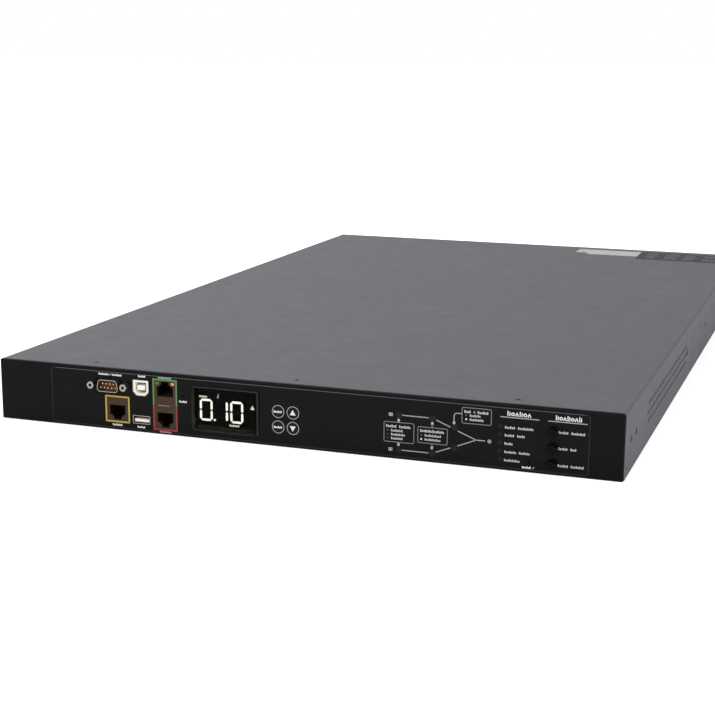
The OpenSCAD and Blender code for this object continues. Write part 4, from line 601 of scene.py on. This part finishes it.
# Frames round the modular ports
portFrames = {"line": 1.15, "side": 1.3, "join": 21.0, "sensor": (0.15, 9.35, 5.6, 24.4)}


def frontBox(node):
    low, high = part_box(node)
    low, high = (low - plateLow) / mm, (high - plateLow) / mm
    return low.x, low.z, high.x, high.z


def addPortFrames(settings):
    side, line, join = settings["side"], settings["line"], settings["join"]
    x0, z0, x1, z1 = frontBox("sensor_jack")
    aside, half, low, high = settings["sensor"]
    middle = (x0 + x1) / 2 + aside
    bm = bmesh.new()
    addOutline(bm, middle - half, low, middle + half, high, line, 0.5)
    addPiece(bm, "sensorPortFrame", inks["yellow"])
    x0, z0, x1, z1 = frontBox("network_jack")
    for name, low, high, edge, mark in (
        ("upperPortFrame", join, z1 + side, z1 + side - line, "green"),
        ("lowerPortFrame", z0 - side, join, z0 - side, "red"),
    ):
        bm = bmesh.new()
        addBar(bm, x0 - side, edge, x1 + side, edge + line)
        sideLow, sideHigh = (low, high - line) if mark == "green" else (low + line, high)
        addBar(bm, x0 - side, sideLow, x0 - side + line, sideHigh)
        addBar(bm, x1 + side - line, sideLow, x1 + side, sideHigh)
        addPiece(bm, name, inks[mark])


addPortFrames(portFrames)

# Words over and under the ports
portWords = {
    "words": [
        ((78.6, 86.3), (88.9, 96.4), 39.0),  # serial port
        ((109.0, 114.6), None, 39.7),  # square USB port
        ((88.6, 96.0), None, 4.0),  # sensor port
        ((107.6, 113.6), None, 4.0),  # flat USB port
        ((139.6, 145.4), None, 24.7),  # left pinhole
        ((376.6, 382.4), None, 3.6),  # right pinhole
    ],
    "strokes": [((87.0, 38.3), (88.0, 39.8), 0.3), ((383.3, 3.1), (384.4, 4.2), 0.35)],
    "upper": (124.0, 134.0, 40.1),
    "lower": (124.6, 133.6, 2.25),
    "height": 1.45,
    "lowerHeight": 1.3,
}


def addPortWords(settings):
    bm = bmesh.new()
    for first, second, z in settings["words"]:
        for span in filter(None, (first, second)):
            addWord(bm, span[0], span[1], z, settings["height"])
    for start, end, width in settings["strokes"]:
        addStroke(bm, start, end, width)
    addPiece(bm, "portWords", inks["white"])
    bm = bmesh.new()
    addWord(bm, *settings["upper"], settings["height"])
    addPiece(bm, "upperPortWord", inks["mint"])
    bm = bmesh.new()
    addWord(bm, *settings["lower"], settings["lowerHeight"])
    addPiece(bm, "lowerPortWord", inks["pink"])


addPortWords(portWords)

# Rings and signs on the four keys
keySigns = {"ring": 4.15, "line": 0.5, "word": 6.0, "wordHeight": 1.5, "triangle": (4.1, 3.6), "drop": 0.3}


def addKeySigns(settings):
    signs = {"mode_key": "word", "function_key": "word", "up_key": "up", "down_key": "down"}
    rings = bmesh.new()
    for key, sign in signs.items():
        x0, z0, x1, z1 = frontBox(key)
        x, z = (x0 + x1) / 2, (z0 + z1) / 2
        addRing(rings, x, z, settings["ring"], settings["line"])
        bm = bmesh.new()
        if sign == "word":
            addWord(bm, x - settings["word"] / 2, x + settings["word"] / 2, z, settings["wordHeight"])
        else:
            down = sign == "down"
            drop = -settings["drop"] if down else settings["drop"]
            addTriangle(bm, x, z - drop, *settings["triangle"], down=down)
        bmesh.ops.translate(bm, verts=bm.verts, vec=(0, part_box(key)[0].y - overlayLow.y, 0))
        addPiece(bm, key.replace("_key", "KeySign"), inks["white"], key)
    addPiece(rings, "keyRings", inks["grey"])


addKeySigns(keySigns)
print("port and key print added")

# The flow diagram: two sources, their switches and the output
flowDiagram = {
    "line": 0.62,
    "high": 29.7,
    "low": 6.55,
    "middle": 18.1,
    "join": 346.7,
    "boxes": [
        (285.2, 11.3, 305.8, 25.0),
        (307.9, 12.6, 328.0, 23.6),
        (336.9, 28.2, 356.4, 38.9),
    ],
    "headings": [[(286.8, 294.0), (295.6, 303.4)], [(309.7, 325.8)], [(338.6, 343.0), (347.2, 354.4)]],
    "headingHeights": [22.0, 20.9, 36.1],
    "rows": [
        [(290.2, 298.2, 19.2, "greenDot"), (290.2, 299.8, 16.6, "redDot"), (290.2, 298.2, 14.0, "redDot")],
        [(312.8, 323.8, 18.0, "greenDot"), (312.8, 323.5, 15.3, "white")],
        [(342.2, 349.4, 33.7, "greenDot"), (342.2, 351.4, 31.1, "white")],
    ],
    "word": 1.55,
    "inputRun": (297.6, 315.4),
    "bends": ((320.3, 28.7, 7.5), (329.8, 24.9, 11.3), (334.5, 22.9, 13.0)),
    "outputEnd": 352.4,
    "output": (355.3, 0.98, 0.45, 0.4),
    "stems": [(295.4, 10.6, 11.3), (295.4, 25.0, 25.8), (317.7, 10.6, 12.6), (317.7, 23.6, 25.8)],
    "leader": (336.9, 334.0, 332.0, 34.4, 28.4),
    "marks": [(295.3, 26.0), (295.3, 10.3), (317.7, 26.0), (317.7, 10.3), (332.0, 28.2)],
    "inputMark": (288.6, 291.2, 1.05),
    "arrow": (345.1, 36.1, 1.5, 1.3),
}


def addFlowDiagram(settings):
    line, high, low, middle = settings["line"], settings["high"], settings["low"], settings["middle"]
    bm = bmesh.new()
    left, right = settings["inputRun"]
    for z, side in ((high, 1), (low, 2)):
        inner, bend, output = ((place[0], place[side]) for place in settings["bends"])
        addStroke(bm, (left, z), (right, z), line)
        addStroke(bm, inner, bend, line)
        addStroke(bm, output, (settings["join"], middle), line)
    addStroke(bm, (settings["join"] - 0.2, middle), (settings["outputEnd"], middle), line)
    addPiece(bm, "flowLines", inks["grey"])
    bm = bmesh.new()
    for x0, z0, x1, z1 in settings["boxes"]:
        addOutline(bm, x0, z0, x1, z1, 0.5, 1.3)
    for x, foot, top in settings["stems"]:
        addStroke(bm, (x, foot), (x, top), line)
    addPiece(bm, "diagramBoxes", inks["dimGrey"])
    bm = bmesh.new()
    right, bend, left, top, foot = settings["leader"]
    radius = bend - left
    addStroke(bm, (bend, top), (right, top), line)
    addRing(bm, bend, top - radius, radius, line, 90, 180, 8)
    addStroke(bm, (left, foot), (left, top - radius), line)
    addPiece(bm, "diagramLeader", inks["grey"])
    bm = bmesh.new()
    for x, z in settings["marks"]:
        addDisc(bm, x, z, 0.85, 16, 1.45)
    x, ring, ringLine, dot = settings["output"]
    addRing(bm, x, middle, ring, ringLine)
    addDisc(bm, x, middle, dot, 12)
    left, right, half = settings["inputMark"]
    for z in (high, low):
        addOutline(bm, left, z - half, right, z + half, 0.42, 0.2)
        addBar(bm, left + 0.85, z - half + 0.3, right - 0.85, z + half - 0.3)
    for words, z in zip(settings["headings"], settings["headingHeights"]):
        for x0, x1 in words:
            addWord(bm, x0, x1, z, settings["word"] * 1.15)
    addTriangle(bm, *settings["arrow"])
    for rows in settings["rows"]:
        for x0, x1, z, dot in rows:
            addWord(bm, x0, x1, z, settings["word"])
    addPiece(bm, "diagramWords", inks["paleGrey"])
    for mark in ("greenDot", "redDot", "white"):
        bm = bmesh.new()
        for rows in settings["rows"]:
            for x0, x1, z, dot in rows:
                if dot == mark:
                    addDisc(bm, x0 - 2.3, z, 0.62, 12)
        addPiece(bm, mark + "Bullets", inks[mark])


addFlowDiagram(flowDiagram)
print("flow diagram added")

# Headings, underlines and row words beside the alarm lights and the buttons
columns = {
    "headings": [(366.4, 382.0, 361.9, 386.7), (397.0, 413.9, 392.2, 416.7)],
    "headingFoot": 35.8,
    "stroke": 0.62,
    "headingHeight": 3.3,
    "underline": 34.9,
    "line": 0.6,
    "rows": [
        ((365.0, 371.7), (373.4, 383.4), 28.3),
        ((365.0, 371.2), (373.0, 378.0), 23.2),
        ((365.0, 370.4), None, 17.8),
        ((365.0, 372.9), (374.4, 381.4), 12.4),
        ((365.0, 375.2), None, 7.0),
        ((399.1, 405.3), (407.0, 415.7), 28.2),
        ((399.1, 405.0), (406.7, 410.6), 17.8),
        ((399.1, 405.8), (407.3, 415.6), 6.9),
    ],
    "word": 1.6,
}


# Headings are rows of rings, posts and slants that spell nothing
def addHeadingMark(bm, x, wide, turn):
    foot, high, line = columns["headingFoot"], columns["headingHeight"], columns["stroke"]
    low = high * 0.78
    if turn % 3 == 1:
        addRing(bm, x + wide / 2, foot + low / 2, wide / 2 - line * 0.1, line, steps=24)
    elif turn % 3 == 2:
        addStroke(bm, (x, foot), (x + wide / 2, foot + low), line)
        addStroke(bm, (x + wide, foot), (x + wide / 2, foot + low), line)
    else:
        addBar(bm, x, foot, x + line, foot + high)
        addBar(bm, x + wide - line, foot, x + wide, foot + low)


def addColumns(settings):
    bm = bmesh.new()
    for x0, x1, lineFrom, lineTo in settings["headings"]:
        letters = 6 if x1 - x0 < 16 else 7
        step = (x1 - x0) / letters
        for i in range(letters):
            addHeadingMark(bm, x0 + i * step, step * 0.72, i)
    addPiece(bm, "columnHeadings", inks["white"])
    bm = bmesh.new()
    for first, second, z in settings["rows"]:
        for span in filter(None, (first, second)):
            addWord(bm, span[0], span[1], z, settings["word"])
    addPiece(bm, "columnWords", inks["paleGrey"])
    bm = bmesh.new()
    for x0, x1, lineFrom, lineTo in settings["headings"]:
        z = settings["underline"]
        addBar(bm, lineFrom, z - settings["line"] / 2, lineTo, z + settings["line"] / 2)
    addPiece(bm, "columnRules", inks["grey"])


addColumns(columns)

# Painted highlight: a faint light line along the overlay's edge, and a brighter one along its top edge, where
# the edges catch light
overlayEdgeHighlight = {"line": 0.22, "topLine": 0.45, "inset": 0.1, "radius": 1.9}


def addOverlayEdgeHighlight(settings):
    x0, z0, x1, z1 = frontBox("front_overlay")
    inset = settings["inset"]
    # Painted highlight: a thin light outline round the overlay
    bm = bmesh.new()
    addOutline(bm, x0 + inset, z0 + inset, x1 - inset, z1 - inset, settings["line"], settings["radius"])
    addPiece(bm, "overlayEdgeHighlight", makeInkAndPaintedLight("paintedOverlayEdgeLight", (0.035, 0.035, 0.038)))
    # Painted highlight: a brighter bar along the overlay's top edge
    bm = bmesh.new()
    ends, top = settings["radius"] * 2, z1 - inset + settings["line"] / 4
    addBar(bm, x0 + ends, top - settings["topLine"], x1 - ends, top)
    addPiece(bm, "overlayTopHighlight", makeInkAndPaintedLight("paintedOverlayTopLight", (0.1, 0.1, 0.105), cover=0.75))


addOverlayEdgeHighlight(overlayEdgeHighlight)

# Small lit signs on the display, beside its digits
displaySigns = {"signWord": (153.6, 159.4, 29.2), "lowWord": (175.6, 182.8, 10.8), "triangle": (192.4, 24.0)}


def addDisplaySigns(settings):
    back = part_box("display_module")[0].y - printFace - printDepth / 2
    bm = bmesh.new()
    x0, x1, z = settings["signWord"]
    addWord(bm, x0, x1, z, 1.3)
    addStroke(bm, (167.1, 28.9), (167.5, 30.3), 0.8)
    addStroke(bm, (167.6, 30.9), (167.7, 31.5), 0.8)
    addTriangle(bm, settings["triangle"][0], settings["triangle"][1], 3.1, 2.9)
    x0, x1, z = settings["lowWord"]
    addWord(bm, x0, x1, z, 1.3)
    bmesh.ops.translate(bm, verts=bm.verts, vec=(0, back, 0))
    addPiece(bm, "displaySigns", makeLitSegment("displaySignLight", (0.62, 0.72, 0.6), 0.7))


addDisplaySigns(displaySigns)

# Dark border behind the window, round the display
displayMask = {"inset": 0.5, "line": 2.2, "radius": 0.6, "mark": (0.02, 0.0165, 0.013)}


def addDisplayMask(settings):
    x0, z0, x1, z1 = frontBox("display_window")
    inset = settings["inset"]
    bm = bmesh.new()
    addOutline(bm, x0 + inset, z0 + inset, x1 - inset, z1 - inset, settings["line"], settings["radius"])
    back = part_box("display_window")[1].y + printDepth - printFace
    bmesh.ops.translate(bm, verts=bm.verts, vec=(0, back, 0))
    addPiece(bm, "displayMask", makeInkAndPaintedLight("displayMaskInk", settings["mark"]))


addDisplayMask(displayMask)

# The seam between the two network ports
portSeam = {"height": 20.3, "dark": 0.25, "inset": 0.4, "bright": (124.0, 132.2, 0.28)}


def addPortSeam(settings):
    low, _, high, _ = frontBox("network_jack")
    z, inset = settings["height"], settings["inset"]
    bm = bmesh.new()
    addBar(bm, low + inset, z - settings["dark"] / 2, high - inset, z + settings["dark"] / 2)
    addPiece(bm, "portSeam", makeInkAndPaintedLight("portSeamShade", (0.012, 0.008, 0.006)))
    left, right, thick = settings["bright"]
    bm = bmesh.new()
    addBar(bm, left, z + settings["dark"] / 2, right, z + settings["dark"] / 2 + thick)
    addPiece(bm, "portSeamEdge", finishes["connector_nickel"])


addPortSeam(portSeam)
print("front print finished")

# Labels on the cover

topLabels = {"lift": 0.02, "bars": 1.7}


def addTopBar(bm, x0, y0, x1, y1, z):
    size = Matrix.Diagonal(((x1 - x0), (y1 - y0), topLabels["lift"] * mm, 1))
    middle = Vector(((x0 + x1) / 2, (y0 + y1) / 2, z + topLabels["lift"] * mm / 2))
    bmesh.ops.create_cube(bm, size=1, matrix=Matrix.Translation(middle) @ size)


# Plain blocks stand for the dark label's print
def addLabelBlocks():
    low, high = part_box("dark_label")
    width = high.x - low.x
    bm = bmesh.new()
    rows = [(0.2, 4), (0.33, 4), (0.46, 3), (0.62, 4), (0.75, 4)]
    for share, count in rows:
        y = low.y + (high.y - low.y) * share
        for i in range(count):
            x = low.x + width * (0.09 + 0.22 * i)
            long = width * (0.15 if (i + count) % 2 else 0.11)
            for k in range(5):
                step = long / 5
                addTopBar(bm, x + k * step, y, x + k * step + step * 0.7, y + topLabels["bars"] * mm, high.z)
    mark = makeInkAndPaintedLight("labelInk", (0.2, 0.2, 0.21), (0.06, 0.06, 0.066), 0.85)
    addPiece(bm, "darkLabelBlocks", mark)


addLabelBlocks()
print("labels finished")

# Floor, backdrop and light

studio = {
    "floorTone": (0.86, 0.86, 0.865),
    "floorGlow": 0.6,
    "reach": 12.0,
    "worldFill": 0.5,
    "lamps": [
        ("keyLamp", (-0.9, 0.5, 1.5), (-0.05, 0, 0.02), 0.9, 22.0),
        ("frontLamp", (-0.4, -2.0, 1.2), (0, -0.3, 0.02), 1.2, 16.0),
        ("sideLamp", (1.7, -1.0, 0.5), (0.2, -0.1, 0.02), 1.0, 15.0),
    ],
}


# Rays that see the background as plain white
def seenRays(tree):
    rays = addNode(tree, "ShaderNodeLightPath").outputs
    seen = calc(tree, "MAXIMUM", rays["Is Camera Ray"], rays["Is Glossy Ray"])
    return calc(tree, "MAXIMUM", seen, rays["Is Transmission Ray"])


def addStudio(settings):
    world = bpy.data.worlds.new("studioWorld")
    world.use_nodes = True
    scene.world = world
    tree = world.node_tree
    tree.nodes.clear()
    seen = seenRays(tree)
    fill = spread(tree, seen, 0.0, 1.0, settings["worldFill"], 1.0)
    back = addNode(tree, "ShaderNodeBackground", {"Color": (1, 1, 1, 1), "Strength": fill})
    addNode(tree, "ShaderNodeOutputWorld", {"Surface": back.outputs[0]})
    for name, place, aim, size, power in settings["lamps"]:
        data = bpy.data.lights.new(name, "AREA")
        data.shape = "SQUARE"
        data.size = size
        data.energy = power
        lamp = bpy.data.objects.new(name, data)
        lamp.location = place
        lamp.rotation_euler = (Vector(aim) - Vector(place)).to_track_quat("-Z", "Y").to_euler()
        scene.collection.objects.link(lamp)

    # Floor that renders white and still catches a little shadow
    surface = bpy.data.materials.new("studioWhite")
    surface.use_nodes = True
    tree = surface.node_tree
    tree.nodes.clear()
    seen = seenRays(tree)
    matt = addNode(tree, "ShaderNodeBsdfDiffuse", {"Color": colour(settings["floorTone"])})
    glow = addNode(tree, "ShaderNodeEmission", {"Color": (1, 1, 1, 1), "Strength": settings["floorGlow"]})
    lit = addNode(tree, "ShaderNodeAddShader", {0: matt.outputs[0], 1: glow.outputs[0]})
    mixed = addNode(tree, "ShaderNodeMixShader", {0: seen, 1: matt.outputs[0], 2: lit.outputs[0]})
    addNode(tree, "ShaderNodeOutputMaterial", {"Surface": mixed.outputs[0]})
    bm = bmesh.new()
    bmesh.ops.create_grid(bm, x_segments=1, y_segments=1, size=settings["reach"])
    mesh = bpy.data.meshes.new("floor")
    bm.to_mesh(mesh)
    bm.free()
    mesh.materials.append(surface)
    floor = bpy.data.objects.new("floor", mesh)
    scene.collection.objects.link(floor)


addStudio(studio)
scene.view_settings.view_transform = "Standard"
print("studio lit")
